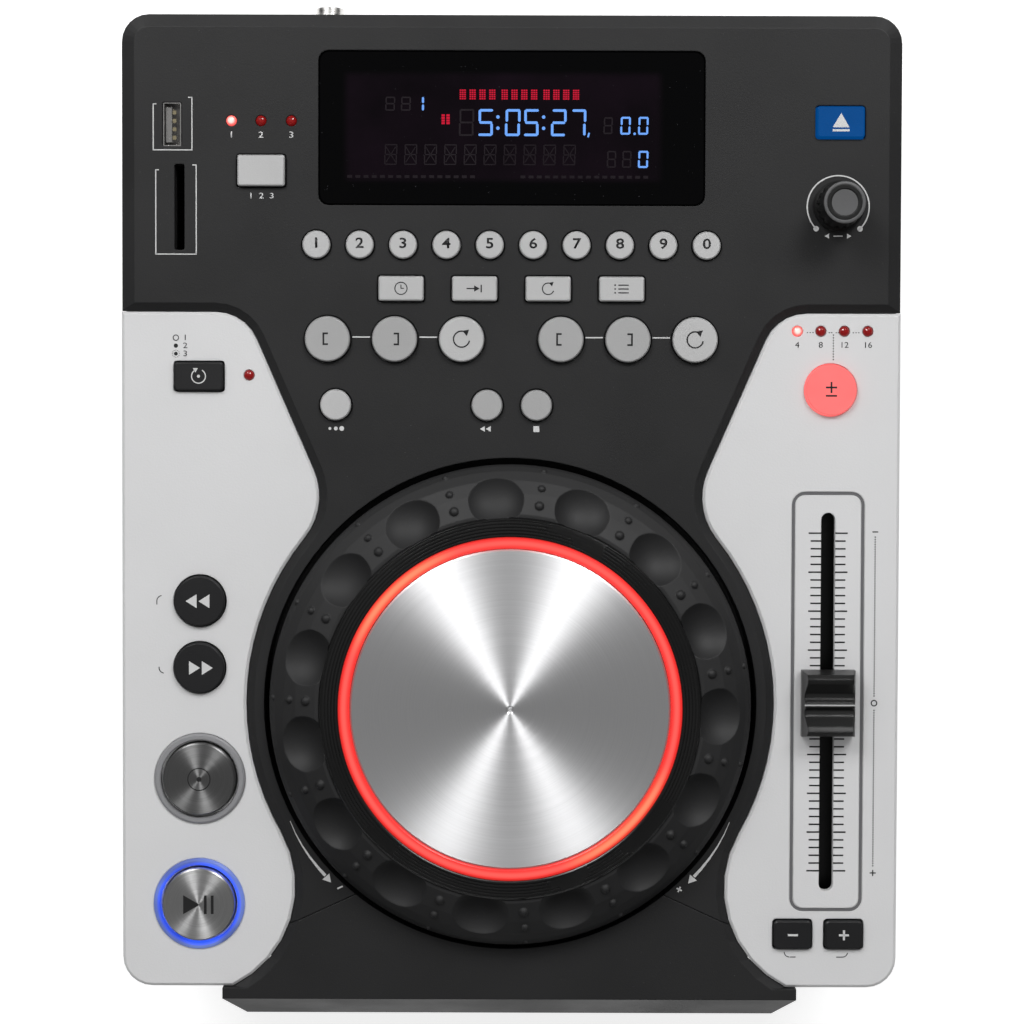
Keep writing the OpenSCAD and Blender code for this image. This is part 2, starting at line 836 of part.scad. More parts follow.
// ---- things fixed in the deck ----
module display_window() {
    top = -0.3;
    color("#101014")
        on_deck()
            translate([0, window_y, 0])
                loft([
                    [rrect(window_w, window_l, window_r - 0.2), top - window_t],
                    [rrect(window_w, window_l, window_r - 0.2), top - 0.3],
                    [rrect(window_w - 0.6, window_l - 0.6, window_r - 0.2), top]
                ]);
}

// Push switch on a board, a little below the pressed key's stem
module tact_switch(p, under) {
    top = under - flange_gap - flange_t - stem_l - key_travel - 0.15;
    translate([p.x - switch_w / 2, p.y - switch_w / 2, board_top - 0.1])
        cube([switch_w, switch_w, top - board_top + 0.1 - 0.5]);
    rod_z(p, 1.6, board_top, top);
}

module circuit_boards() {
    color("#1f6a3c")
        on_base() {
            deck_frame() {
                difference() {
                    union() {
                        span([-board_x, 60, board_top - board_t], [board_x, 138, board_top]);
                        span([-58, 22, board_top - board_t], [58, 61, board_top]);
                        for (i = [0:9])
                            tact_switch([num_x(i), num_y], -plate_t);
                        for (i = [0:3])
                            tact_switch([func_x(i), func_y], -plate_t);
                        for (i = [0:5])
                            tact_switch([loop_px(i), loop_y], -plate_t);
                        for (x = small_x)
                            tact_switch([x, small_y], -plate_t);
                        tact_switch(source_p, -plate_t);
                        tact_switch(eject_p, -plate_t);
                        span(
                            [-window_w / 2 + 5, window_y - window_l / 2 + 5, board_top - 0.1],
                            [window_w / 2 - 5, window_y + window_l / 2 - 5, -plate_t + 0.8]);
                        rod_z(knob_p, 6.5, board_top - 0.1, -plate_t);
                    }
                    rod_z(knob_p, knob_shaft_r + run_fit, board_top - 5, 0);
                    translate([card_p.x, card_p.y, 0])
                        prism(rrect(6.4, card_w + 4.4, 0.5), board_top - 5, 0);
                    both_sides()
                        rod_z(rear_post, 6, board_top - 5, 0);
                    for (p = board_posts)
                        rod_z(p, deck_pilot_r, board_top - 5, board_top + 1);
                }
                difference() {
                    union() {
                        span([-board_x, 28, board_top - board_t], [-72, 52, board_top]);
                        span([-board_x, -126, board_top - board_t], [-80, 29, board_top]);
                        tact_switch(mode_p, cheek_under);
                        for (p = concat(search_p, [cue_p, play_p]))
                            tact_switch(p, cheek_under);
                    }
                    rod_z(front_post, 6, board_top - 5, 0);
                    for (p = side_posts)
                        rod_z(p, side_pilot_r, board_top - 5, board_top + 1);
                }
                difference() {
                    union() {
                        span([72, 24, board_top - board_t], [board_x - 1, 56, board_top]);
                        tact_switch(range_p, cheek_under);
                    }
                    rod_z([-side_posts[0].x, side_posts[0].y], side_pilot_r, board_top - 5, board_top + 1);
                }
                difference() {
                    span([76, step_y - 4.6, board_top - board_t], [board_x, step_y + 4, board_top]);
                    rod_z([-side_posts[3].x, side_posts[3].y], side_pilot_r, board_top - 5, board_top + 1);
                }
                for (p = step_p)
                    tact_switch(p, cheek_under);
            }
            span([-94, 70, foot_h + sheet_t + 4], [90, 126, foot_h + sheet_t + 4 + board_t]);
            for (x = [-88, 84], y = [78, 120])
                rod_z([x, y], 3, foot_h + sheet_t, foot_h + sheet_t + 4.5);
            span([-30, 82, foot_h + sheet_t + 5], [-6, 106, foot_h + sheet_t + 8]);
            span([52, 76, foot_h + sheet_t + 5], [84, 108, foot_h + sheet_t + 26]);
            for (i = [0:2])
                rod_z([14 + 12 * i, 90], 4.5, foot_h + sheet_t + 5, foot_h + sheet_t + 20);
        }
}

module lamp(p, surf) {
    translate([p.x, p.y, 0])
        rotate_extrude()
            polygon(concat(
                [[0, board_top], [lamp_r, board_top]],
                arc([0, surf - 0.4], lamp_r, 0, 90, 5)));
}

module indicator_lamps() {
    color("#d21f1f")
        on_deck() {
            for (p = deck_lamps)
                lamp(p, 0);
            lamp(mode_lamp, cheek_z);
            for (p = pitch_lamps)
                lamp(p, cheek_z);
        }
}

module usb_socket() {
    color("#b9babd")
        on_deck()
            translate([usb_p.x, usb_p.y, 0]) {
                difference() {
                    prism(rrect(5.2, usb_w + 0.5, 0.4), board_top, -0.2);
                    prism(rrect(4.5, usb_w - 0.2, 0.2), board_top + 1, 1);
                }
                span([-2, -usb_w / 2 + 1, board_top + 1], [-0.2, usb_w / 2 - 1, -1.5]);
            }
}

module card_socket() {
    color("#3a3a3d")
        on_deck()
            translate([card_p.x, card_p.y, 0])
                difference() {
                    span([-3, -card_w / 2 - 2, -plate_t - 20], [3, card_w / 2 + 2, -plate_t]);
                    span([-1.25, -card_w / 2 + 0.1, -plate_t - 19], [1.25, card_w / 2 - 0.1, 1]);
                }
}

module rear_sockets() {
    inner_y = case_rear - sheet_t;
    color("#c4c5c8")
        on_base() {
            difference() {
                union() {
                    for (i = [0, 1])
                        translate([phono_x, inner_y - 1, phono_z - 7 + i * phono_step])
                            rotate([-90, 0, 0]) {
                                cylinder(h = sheet_t + 1, r = phono_r + 0.15);
                                cylinder(h = sheet_t + phono_l + 1, r = phono_r);
                            }
                    span(
                        [phono_x - 6, inner_y - 14, phono_z - 14],
                        [phono_x + 6, inner_y, phono_z + 14]);
                }
                for (i = [0, 1])
                    translate([phono_x, case_rear - 2, phono_z - 7 + i * phono_step])
                        rotate([-90, 0, 0])
                            cylinder(h = 30, r = phono_bore);
            }
            difference() {
                union() {
                    translate([jack_x, inner_y - 1, sockets_z])
                        rotate([-90, 0, 0])
                            cylinder(h = sheet_t + 2, r = 3.5);
                    span(
                        [jack_x - 5.5, inner_y - 15, sockets_z - 5.5],
                        [jack_x + 5.5, inner_y, sockets_z + 5.5]);
                }
                translate([jack_x, inner_y - 14, sockets_z])
                    rotate([-90, 0, 0])
                        cylinder(h = 30, r = jack_r);
            }
            power_inlet();
            rocker_bezel();
        }
}

module power_inlet() {
    translate([inlet_x, case_rear, sockets_z])
        difference() {
            union() {
                rotate([-90, 0, 0])
                    linear_extrude(2)
                        polygon(rrect(48, 24, 4));
                translate([-13.5, -22, -9.7])
                    cube([27, 22.5, 19.4]);
            }
            rotate([90, 0, 0])
                translate([0, 0, -5])
                    linear_extrude(22)
                        polygon(inlet_pts);
        }
    for (p = [[-7, -1], [7, -1], [0, 3]])
        translate([inlet_x + p.x - 1, case_rear - 18, sockets_z + p.y - 2])
            cube([2, 12, 4]);
}

module rocker_bezel() {
    translate([rocker_x, case_rear, sockets_z])
        difference() {
            union() {
                span([-7.5, 0, -10.5], [7.5, 1.5, 10.5]);
                span([-6.5, -12, -9.5], [6.5, 0.2, 9.5]);
            }
            span([-5.5, -10.5, -8.6], [5.5, 5, 8.6]);
            translate([-6.1, rocker_y - case_rear, 0])
                rotate([0, 90, 0])
                    cylinder(h = 12.2, r = rocker_pin_r + run_fit);
        }
}

// Rocker of the power switch, resting with its lower end pressed in
module power_switch() {
    color("#202022")
        on_base()
            translate([rocker_x, rocker_y, sockets_z])
                rotate([8, 0, 0]) {
                    rotate([90, 0, 90])
                        translate([0, 0, -5.2])
                            linear_extrude(10.4)
                                polygon([
                                    [-3, -3], [2.5, -7.6], [5.6, -7.6], [4.3, 0], [5.6, 7.6], [2.5, 7.6],
                                    [-3, 3]
                                ]);
                    translate([-5.9, 0, 0])
                        rotate([0, 90, 0])
                            cylinder(h = 11.8, r = rocker_pin_r);
                }
}

module button_rings() {
    color("#8b8b8e")
        on_deck()
            for (p = [cue_p, play_p])
                translate([p.x, p.y, cheek_z])
                    rotate_extrude()
                        polygon([
                            [ring_in, -1.2], [ring_r, -1.2], [ring_r, 0.5], [ring_r - 0.6, 1],
                            [ring_in + 0.3, 1], [ring_in, 0.7]
                        ]);
}

// ---- jog wheel ----
module jog_spindle() {
    z0 = -well_d + 1;
    color("#a9abae")
        on_deck()
            translate([0, jog_y, 0])
                rotate_extrude()
                    polygon([
                        [0, z0], [boss_r - 1, z0], [boss_r - 1, z0 + 1.5], [spindle_r, z0 + 1.5],
                        [spindle_r, seat_z - 2.6], [spindle_r + 1.5, seat_z - 2.6],
                        [spindle_r + 1.5, seat_z - 1.4], [spindle_r, seat_z - 1.4],
                        [spindle_r - 0.6, seat_z - 0.6], [0, seat_z - 0.6]
                    ]);
}

module jog_wheel() {
    hub = spindle_r + 5;
    low = -well_d + 5;
    color("#242426")
        on_deck()
            translate([0, jog_y, 0])
                difference() {
                    union() {
                        rotate_extrude()
                            polygon([
                                [spindle_r + run_fit, -well_d + 2.8], [hub, -well_d + 2.8],
                                [hub, seat_z - 6], [bezel_r - 2, seat_z - 6], [bezel_r + 3, seat_z - 10],
                                [jog_r - 3, low], [jog_r, low], [jog_r, 3.4], [jog_r - 0.5, 5],
                                [jog_r - 1.8, 6.8], [jog_r - 4.4, 9.2], [jog_r - 8, 11.4],
                                [bezel_r + 2.2, rim_top - 0.4], [bezel_r + 1.2, rim_top],
                                [bezel_r + 0.1, rim_top], [bezel_r + 0.1, seat_z],
                                [spindle_r + 2.2, seat_z], [spindle_r + 2.2, seat_z - 2.8],
                                [spindle_r + run_fit, seat_z - 2.8]
                            ]);
                        for (i = [0:dimple_n - 1])
                            rotate(94 + 360 / dimple_n * (i + 0.5)) {
                                translate([bezel_r + 3.8, 0, 12.1])
                                    sphere(r = 1.45, $fn = 24);
                                translate([jog_r - 6.3, 0, 10.1])
                                    sphere(r = 1.15, $fn = 24);
                                translate([jog_r - 1.5, 0, 5.9])
                                    sphere(r = 0.9, $fn = 24);
                            }
                    }
                    for (i = [0:dimple_n - 1])
                        rotate(94 + 360 / dimple_n * i)
                            translate([dimple_row_r, 0, dimple_top - dimple_d + dimple_r])
                                sphere(r = dimple_r, $fn = 48);
                }
}

module jog_bezel() {
    step = (bezel_r - light_out - 0.9) / groove_n;
    color("#1b1b1d")
        on_deck()
            translate([0, jog_y, 0])
                difference() {
                    rotate_extrude()
                        polygon([
                            [light_out + 0.1, seat_z], [bezel_r, seat_z], [bezel_r, jog_h - 0.9],
                            [bezel_r - 0.4, jog_h - 0.5], [light_out + 0.4, jog_h - 0.2],
                            [light_out + 0.1, jog_h - 0.4]
                        ]);
                    for (i = [0:groove_n - 1])
                        rotate_extrude()
                            translate([light_out + 0.6 + step * (i + 0.5), jog_h - 0.3])
                                square([step * 0.45, 0.9], center = true);
                }
}

module jog_light_ring() {
    color("#ff3c3c")
        on_deck()
            translate([0, jog_y, 0])
                rotate_extrude()
                    polygon([
                        [light_in, seat_z], [light_out, seat_z], [light_out, jog_h - 0.9],
                        [light_out - 0.7, jog_h - 0.3], [light_in + 0.4, jog_h - 0.3],
                        [light_in, jog_h - 0.6]
                    ]);
}

module jog_plate() {
    color("#b8b9bc")
        on_deck()
            translate([0, jog_y, 0])
                rotate_extrude()
                    polygon([
                        [0, seat_z], [disc_plate_r, seat_z], [disc_plate_r, jog_h - 0.5],
                        [disc_plate_r - 0.5, jog_h], [1.2, jog_h], [0.8, jog_h - 0.25], [0, jog_h - 0.25]
                    ]);
}

// ---- select knob and pitch fader ----
module select_knob() {
    base = 0.6;
    color("#3a3a3c")
        on_deck()
            translate([knob_p.x, knob_p.y, 0])
                difference() {
                    rotate_extrude()
                        polygon([
                            [0, board_top - 2], [knob_shaft_r, board_top - 2], [knob_shaft_r, base],
                            [knob_r, base], [knob_r, base + 2], [knob_r - 0.7, base + 2.6],
                            [knob_r - 1.5, knob_h - 1.4], [knob_r - 2.3, knob_h], [knob_r - 3.2, knob_h],
                            [knob_r - 3.8, knob_h - 0.3], [0, knob_h - 0.3]
                        ]);
                    for (i = [0:knob_ribs - 1])
                        rotate(360 / knob_ribs * i)
                            translate([knob_r - 0.5, 0, base + 2.6])
                                cylinder(h = knob_h - 5, r = 0.7, $fn = 16);
                }
}

module fader_track() {
    color("#7c7d80")
        on_deck()
            translate([fader_x, fader_y, track_top])
                difference() {
                    span([-7, -track_l / 2, -10], [7, track_l / 2, 0]);
                    span([-5.5, -track_l / 2 + 2, -8.5], [5.5, track_l / 2 - 2, -1]);
                    span([-slot_w / 2, -slot_l / 2, -5], [slot_w / 2, slot_l / 2, 1]);
                }
}

module fader_cap() {
    z0 = cheek_z + 0.8;
    h = cap_h - 0.8;
    e = cap_l / 2;
    color("#1a1a1c")
        on_deck()
            translate([fader_x, fader_y, 0]) {
                intersection() {
                    translate([-cap_w / 2, 0, z0])
                        rotate([90, 0, 90])
                            linear_extrude(cap_w)
                                polygon([
                                    [-e, 0], [e, 0], [e, 2.5], [e - 0.8, h - 1.2], [e - 2, h],
                                    [e - 3.4, h - 0.5], [3.2, h - 3.4], [1.6, h - 3.6], [0.7, h - 2.4],
                                    [-0.7, h - 2.4], [-1.6, h - 3.6], [-3.2, h - 3.4], [3.4 - e, h - 0.5],
                                    [2 - e, h], [0.8 - e, h - 1.2], [-e, 2.5]
                                ]);
                    translate([0, cap_l / 2 + 1, z0])
                        rotate([90, 0, 0])
                            linear_extrude(cap_l + 2)
                                polygon([
                                    [-cap_w / 2, 0], [cap_w / 2, 0], [cap_w / 2, 3], [cap_w / 2 - 1.2, h],
                                    [-cap_w / 2 + 1.2, h], [-cap_w / 2, 3]
                                ]);
                }
                span([-1.2, -3, track_top - 4], [1.2, 3, z0 + 1]);
                span([-5, -4, track_top - 8], [5, 4, track_top - 3]);
            }
}

// ---- disc loader ----
module loader_frame() {
    out = frame_in + frame_t;
    color("#5b5d61")
        on_base()
            difference() {
                union() {
                    difference() {
                        span([-out, frame_front, frame_z], [out, frame_rear, frame_top]);
                        span(
                            [-frame_in, frame_front - 1, frame_z + frame_t],
                            [frame_in, frame_rear - frame_t, frame_top + 1]);
                    }
                    both_sides() {
                        span(
                            [-frame_in - 0.5, frame_front, tray_z - rail_gap - 2],
                            [-rail_in, frame_rear - frame_t, tray_z - rail_gap]);
                        span(
                            [-frame_in - 0.5, frame_front, tray_top + rail_gap],
                            [-rail_in, frame_rear - frame_t, tray_top + rail_gap + 2]);
                        rod_block(rod_y0);
                        rod_block(rod_y1 - 3);
                        translate([-rod_x, rod_y0, rod_h])
                            rotate([-90, 0, 0])
                                cylinder(h = rod_y1 - rod_y0, r = rod_r);
                    }
                    span([-out, disc_y - 18, frame_top - 2], [out, disc_y + 18, frame_top]);
                    rod_z([0, disc_y], 12, frame_z, tray_z - 4);
                }
                rod_z([0, disc_y], clamp_hole_r, frame_top - 4, frame_top + 1);
                rod_z([0, disc_y], shaft_r + run_fit, tray_z - 12, tray_z);
                span([-50, sled_y + 4, frame_z - 1], [-24, frame_rear - 20, frame_z + frame_t + 1]);
                span([24, sled_y + 4, frame_z - 1], [50, frame_rear - 20, frame_z + frame_t + 1]);
            }
}

module rod_block(y) {
    span([-rod_x - 3, y, frame_z], [-rod_x + 3, y + 3, rod_h + 3]);
}

module disc_tray() {
    y_r = tray_rear;
    color("#303033")
        on_base() {
            difference() {
                span([-tray_w / 2, tray_front + 4, tray_z], [tray_w / 2, y_r, tray_top]);
                rod_z([0, disc_y], recess_r, tray_top - recess_d, tray_top + 1);
                rod_z([0, disc_y], 41, tray_top - recess_d - 0.8, tray_top + 1);
                rod_z([0, disc_y], tray_slot / 2, tray_z - 1, tray_top + 1);
                span([-tray_slot / 2, disc_y, tray_z - 1], [tray_slot / 2, y_r + 1, tray_top + 1]);
            }
            intersection() {
                difference() {
                    nose_block();
                    translate([0, 5, 0])
                        nose_block();
                }
                span(
                    [-mouth_w / 2 + mouth_gap, -big / 2, slot_zlow + mouth_gap],
                    [mouth_w / 2 - mouth_gap, 0, slot_ztop - mouth_gap]);
            }
            span(
                [-tray_w / 2 + 4, tray_front - 2.5, tray_z + 1],
                [tray_w / 2 - 4, tray_front + 5, tray_top - 1]);
        }
}

// Turntable under the disc and, over it, the clamp that the loader's bridge carries
module disc_turntable() {
    color("#9b9ca0")
        on_base()
            translate([0, disc_y, 0]) {
                rotate_extrude()
                    polygon([
                        [0, tray_z - 11.5], [shaft_r, tray_z - 11.5], [shaft_r, hub_z - 2],
                        [hub_r, hub_z - 2], [hub_r, hub_z], [7.4, hub_z], [7.4, hub_z + 1.4],
                        [6, hub_z + 2.6], [0, hub_z + 2.6]
                    ]);
                rotate_extrude()
                    polygon([
                        [0, tray_top + 2.2], [hub_r - 1, tray_top + 2.2], [hub_r - 1, frame_top - 2.4],
                        [clamp_hole_r - 0.4, frame_top - 2.4], [clamp_hole_r - 0.4, frame_top + 0.3],
                        [hub_r, frame_top + 0.3], [hub_r, frame_top + 1.8], [0, frame_top + 1.8]
                    ]);
            }
}

module laser_sled() {
    color("#46484c")
        on_base()
            difference() {
                union() {
                    span([-rod_x - 4, sled_y, rod_h - 3], [rod_x + 4, sled_y + sled_l, rod_h + 3]);
                    span([-9, sled_y + 2, rod_h + 2.5], [9, sled_y + 20, rod_h + 6]);
                    rod_z([0, sled_y + 10], 4, rod_h + 5, tray_z + 2.5);
                }
                both_sides()
                    translate([-rod_x, sled_y - 1, rod_h])
                        rotate([-90, 0, 0])
                            cylinder(h = sled_l + 2, r = rod_r + run_fit);
                rod_z([0, sled_y + 10], 2.6, tray_z + 2, tray_z + 3);
            }
}

// ---- keys ----
module round_key(p, r, rise, surf, under, tone) {
    foot = under - flange_gap - flange_t;
    color(tone)
        on_deck()
            translate([p.x, p.y, 0])
                rotate_extrude()
                    polygon([
                        [0, foot - stem_l], [stem_r, foot - stem_l], [stem_r, foot], [r + flange_w, foot],
                        [r + flange_w, under - flange_gap], [r, under - flange_gap],
                        [r, surf + rise - key_edge], [r - key_edge, surf + rise], [0, surf + rise]
                    ]);
}

module rect_key(p, w, l, r, rise, surf, under, tone) {
    foot = under - flange_gap - flange_t;
    top = surf + rise;
    color(tone)
        on_deck()
            translate([p.x, p.y, 0]) {
                loft([
                    [rrect(w, l, r), foot + 0.4], [rrect(w, l, r), top - key_edge],
                    [rrect(w - 2 * key_edge, l - 2 * key_edge, r), top]
                ]);
                prism(rrect(w + 2 * flange_w, l + 2 * flange_w, r), foot, foot + flange_t);
                rod_z([0, 0], stem_r, foot - stem_l, foot + 0.5);
            }
}

module number_key(i) {
    round_key([num_x((i + 9) % 10), num_y], num_r, 1.3, 0, -plate_t, key_tone);
}

module function_key(i) {
    rect_key([func_x(i), func_y], func_w, func_l, 0.8, 1.5, 0, -plate_t, key_tone);
}

module loop_key(i) {
    round_key([loop_px(i), loop_y], loop_r, 1.8, 0, -plate_t, "#a9a9ab");
}

module small_key(i) {
    round_key([small_x[i], small_y], small_r, 1.5, 0, -plate_t, key_tone);
}

module source_key() {
    rect_key(source_p, wide_w, wide_l, 0.8, 1.6, 0, -plate_t, key_tone);
}

module eject_key() {
    rect_key(eject_p, wide_w, wide_l, 0.8, 1.4, 0, -plate_t, "#0b4f92");
}

module jog_mode_key() {
    rect_key(mode_p, mode_w, mode_l, 0.9, 1.6, cheek_z, cheek_under, "#2c2c2e");
}

module pitch_range_key() {
    round_key(range_p, round_r, 2, cheek_z, cheek_under, "#ff7676");
}

module search_key(i) {
    round_key(search_p[i], round_r, 1.8, cheek_z, cheek_under, "#2c2c2e");
}

module transport_key(p) {
    round_key(p, play_r, 2.5, cheek_z, cheek_under, "#5e5f62");
}

module pitch_step_key(i) {
    rect_key(step_p[i], step_w, step_l, 1.1, 1.6, cheek_z, cheek_under, "#2c2c2e");
}

bottom_case();
rubber_feet();
case_screws();
top_deck();
left_cheek();
right_cheek();
front_fascia();
display_window();
circuit_boards();
indicator_lamps();
usb_socket();
card_socket();
rear_sockets();
power_switch();
button_rings();
jog_spindle();
jog_wheel();
jog_bezel();
jog_light_ring();
jog_plate();
select_knob();
fader_track();
fader_cap();
loader_frame();
disc_tray();
disc_turntable();
laser_sled();
source_key();
number_key(1);  // number_key_1
number_key(2);  // number_key_2
number_key(3);  // number_key_3
number_key(4);  // number_key_4
number_key(5);  // number_key_5
number_key(6);  // number_key_6
number_key(7);  // number_key_7
number_key(8);  // number_key_8
number_key(9);  // number_key_9
number_key(10);  // number_key_0
function_key(0);  // time_key
function_key(1);  // single_key
function_key(2);  // repeat_key
function_key(3);  // program_key
loop_key(0);  // loop_a_in_key
loop_key(1);  // loop_a_out_key
loop_key(2);  // loop_a_again_key
loop_key(3);  // loop_b_in_key
loop_key(4);  // loop_b_out_key
loop_key(5);  // loop_b_again_key
small_key(0);  // tap_key
small_key(1);  // reverse_key
small_key(2);  // brake_key
jog_mode_key();
pitch_range_key();
search_key(0);  // search_back_key
search_key(1);  // search_forward_key
transport_key(cue_p);  // cue_key
transport_key(play_p);  // play_key
pitch_step_key(0);  // pitch_minus_key
pitch_step_key(1);  // pitch_plus_key
eject_key();
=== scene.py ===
"""Looks of a tabletop disc player: finishes, printed marks, display, lamps, caps and the studio."""
import json
import math

import bmesh
import bpy
from mathutils import Matrix, Vector


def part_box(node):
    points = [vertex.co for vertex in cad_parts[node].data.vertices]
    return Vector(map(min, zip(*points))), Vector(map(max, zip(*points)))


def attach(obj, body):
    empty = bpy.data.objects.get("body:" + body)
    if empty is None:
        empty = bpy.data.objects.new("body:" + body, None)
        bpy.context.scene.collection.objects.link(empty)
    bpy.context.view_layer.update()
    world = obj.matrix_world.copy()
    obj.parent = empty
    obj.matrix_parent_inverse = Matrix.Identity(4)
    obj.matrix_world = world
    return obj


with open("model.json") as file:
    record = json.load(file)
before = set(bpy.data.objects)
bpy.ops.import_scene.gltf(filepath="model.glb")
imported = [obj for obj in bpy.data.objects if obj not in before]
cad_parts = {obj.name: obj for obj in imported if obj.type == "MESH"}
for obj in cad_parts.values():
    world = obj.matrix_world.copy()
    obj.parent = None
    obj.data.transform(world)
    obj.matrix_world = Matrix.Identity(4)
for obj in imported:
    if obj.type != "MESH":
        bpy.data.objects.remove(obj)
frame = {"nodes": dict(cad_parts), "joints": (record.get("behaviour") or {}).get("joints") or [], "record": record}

bl_info = {
    "name": "Tabletop disc player",
    "version": (1, 0, 0),
    "blender": (4, 5, 0),
    "location": "View3D > Sidebar > Player",
    "description": "Finishes, printed marks, display and studio of a tabletop disc player",
    "category": "Object",
}

NODES = frame["nodes"]
JOINTS = {j["name"]: j for j in frame["joints"]}
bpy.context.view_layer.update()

# ---- the deck's own frame, in millimetres: x to the right, y to the back, z off the deck ----
MM = 0.001
JOG_Y = -55.5  # centre of the jog wheel
HINGE_Z = 5.0  # height of the jog wheel's joint
CHEEK_Z = -1.6  # surface of the silver cheeks
FADER_X, FADER_Y = 91.7, -54.9  # middle of the fader's slot
SOURCE_LAMPS = (-80.4, -71.9, -63.2)  # x of the source lamps
RANGE_LAMP = 82.4  # x of the first pitch lamp
INK = 0.06  # thickness of a print
LINE = 0.3  # width of the lines on the deck
UP = Vector(JOINTS["jog_turn"]["axis"]).normalized()
BACK = Vector(JOINTS["fader_slide"]["axis"]).normalized()
RIGHT = BACK.cross(UP)
ORIGIN = Vector(JOINTS["jog_turn"]["pos_m"]) - UP * HINGE_Z * MM - BACK * JOG_Y * MM
DECK = Matrix((
    (RIGHT.x * MM, BACK.x * MM, UP.x * MM, ORIGIN.x),
    (RIGHT.y * MM, BACK.y * MM, UP.y * MM, ORIGIN.y),
    (RIGHT.z * MM, BACK.z * MM, UP.z * MM, ORIGIN.z),
    (0, 0, 0, 1)))
FROM_WORLD = DECK.inverted()


def deck_point(x, y):
    return DECK @ Vector((x, y, 0))


def deck_points(node):
    """The vertices of a CAD node in the deck's frame, in millimetres."""
    return [FROM_WORLD @ v.co for v in NODES[node].data.vertices]


def spot(node):
    """Centre and top of a CAD node in the deck's frame, in millimetres."""
    xs, ys, zs = zip(*deck_points(node))
    return (min(xs) + max(xs)) / 2, (min(ys) + max(ys)) / 2, max(zs)


# ---------------------------------------------------------------- settings
LENGTH = {"subtype": "DISTANCE", "unit": "LENGTH"}
ANGLE = {"subtype": "ANGLE", "unit": "ROTATION"}
POWER = {"subtype": "POWER", "unit": "POWER"}


def colour(name, description, default):
    """A colour in the panel."""
    return bpy.props.FloatVectorProperty(
        name=name, description=description, subtype="COLOR", size=3, min=0, max=1, default=default)


def amount(name, description, low, high, default, **kind):
    """A number in the panel; kind holds its subtype and its unit."""
    return bpy.props.FloatProperty(
        name=name, description=description, min=low, max=high, default=default, **kind)


class PlayerFinishes(bpy.types.PropertyGroup):
    deck: colour("Deck", "Colour of the black mouldings", (0.0175, 0.0175, 0.018))
    silver: colour("Cheeks", "Colour of the silver lacquer", (0.64, 0.64, 0.645))
    key: colour("Keys", "Colour of the pale keys", (0.45, 0.45, 0.45))
    key_mid: colour("Loop keys", "Colour of the mid grey keys", (0.35, 0.35, 0.35))
    key_dark: colour("Dark keys", "Colour of the dark keys", (0.0105, 0.0105, 0.0115))
    rubber: colour("Rubber", "Colour of the jog wheel's rim", (0.014, 0.014, 0.0145))
    steel: colour("Spun steel", "Colour of the jog plate", (0.88, 0.88, 0.89))
    light_ink: colour("Pale print", "Ink on the black surfaces", (0.58, 0.58, 0.58))
    dark_ink: colour("Dark print", "Ink on the silver surfaces", (0.012, 0.012, 0.013))


class PlayerLights(bpy.types.PropertyGroup):
    ring_red: colour("Jog ring", "Light of the jog wheel's ring", (1.0, 0.038, 0.032))
    ring_blue: colour("Play ring", "Light of the ring round the play key", (0.02, 0.09, 0.95))
    digit_blue: colour("Digits", "Light of the display's digits", (0.15, 0.37, 0.92))
    digit_red: colour("Red segments", "Light of the display's red segments", (0.48, 0.0, 0.022))
    glow: amount("Glow", "Strength of the jog wheel's ring", 0, 3, 0.9)


class PlayerStudio(bpy.types.PropertyGroup):
    distance: amount("Distance", "Camera's distance from the deck", 0.3, 3, 0.735, **LENGTH)
    lens: amount("Lens", "Focal length on the sensor", 20, 200, 89.7, subtype="DISTANCE_CAMERA")
    tilt: amount("Tilt", "How far the camera stands in front of the vertical", 0, 1.2,
                 math.radians(1.07), **ANGLE)
    roll: amount("Roll", "Turn of the camera about its view", -0.1, 0.1, math.radians(0.173), **ANGLE)
    shift_x: amount("Aim", "Deck position that the camera aims at, from the centre line",
                    -0.05, 0.05, 0.00037, **LENGTH)
    floor: colour("Floor", "Colour of the floor", (0.6, 0.6, 0.6))
    ambient: amount("Ambient", "Strength of the surrounding light", 0, 2, 0.40)
    sheen: amount("Sheen", "Strength of the surroundings in reflections from above", 0, 2, 0.24)
    key_light: amount("Lamps", "Power of each soft box", 0, 100, 6.5, **POWER)
    metal_light: amount("Metal lamps", "Power of each strip that only shows in reflections",
                        0, 100, 11.6, **POWER)


def settings(name):
    return getattr(bpy.context.scene, name)


# ---------------------------------------------------------------- material helpers
def connect(slot, value):
    """Links value into slot where it is a socket, and sets slot where it is constant."""
    if isinstance(value, bpy.types.NodeSocket):
        slot.id_data.links.new(value, slot)
    else:
        slot.default_value = value


def wire(node, inputs):
    """Fills a node's inputs, which are given by name or number."""
    for name, value in inputs.items():
        connect(node.inputs[name], value)


def add_node(near, kind, inputs=None, **options):
    """A shader node in near's tree, with its options set and its inputs filled."""
    node = near.id_data.nodes.new("ShaderNode" + kind)
    for name, value in options.items():
        setattr(node, name, value)
    wire(node, inputs or {})
    return node


def blank(name):
    """A new material, its shader and the object coordinates that its patterns follow."""
    material = bpy.data.materials.new(name)
    material.use_nodes = True
    tree = material.node_tree
    tree.nodes.clear()
    out = add_node(tree, "OutputMaterial")
    shader = add_node(tree, "BsdfPrincipled")
    connect(out.inputs["Surface"], shader.outputs["BSDF"])
    return material, shader, add_node(tree, "TexCoord").outputs["Object"]


def noise(place, scale, detail=2.0, rough=0.5):
    return add_node(place, "TexNoise", {
        "Vector": place, "Scale": scale, "Detail": detail, "Roughness": rough}).outputs["Fac"]


def maths(kind, *values):
    near = next(v for v in values if isinstance(v, bpy.types.NodeSocket))
    return add_node(near, "Math", dict(enumerate(values)), operation=kind).outputs[0]


def vector_maths(kind, a, b):
    return add_node(a, "VectorMath", {0: a, 1: b}, operation=kind).outputs


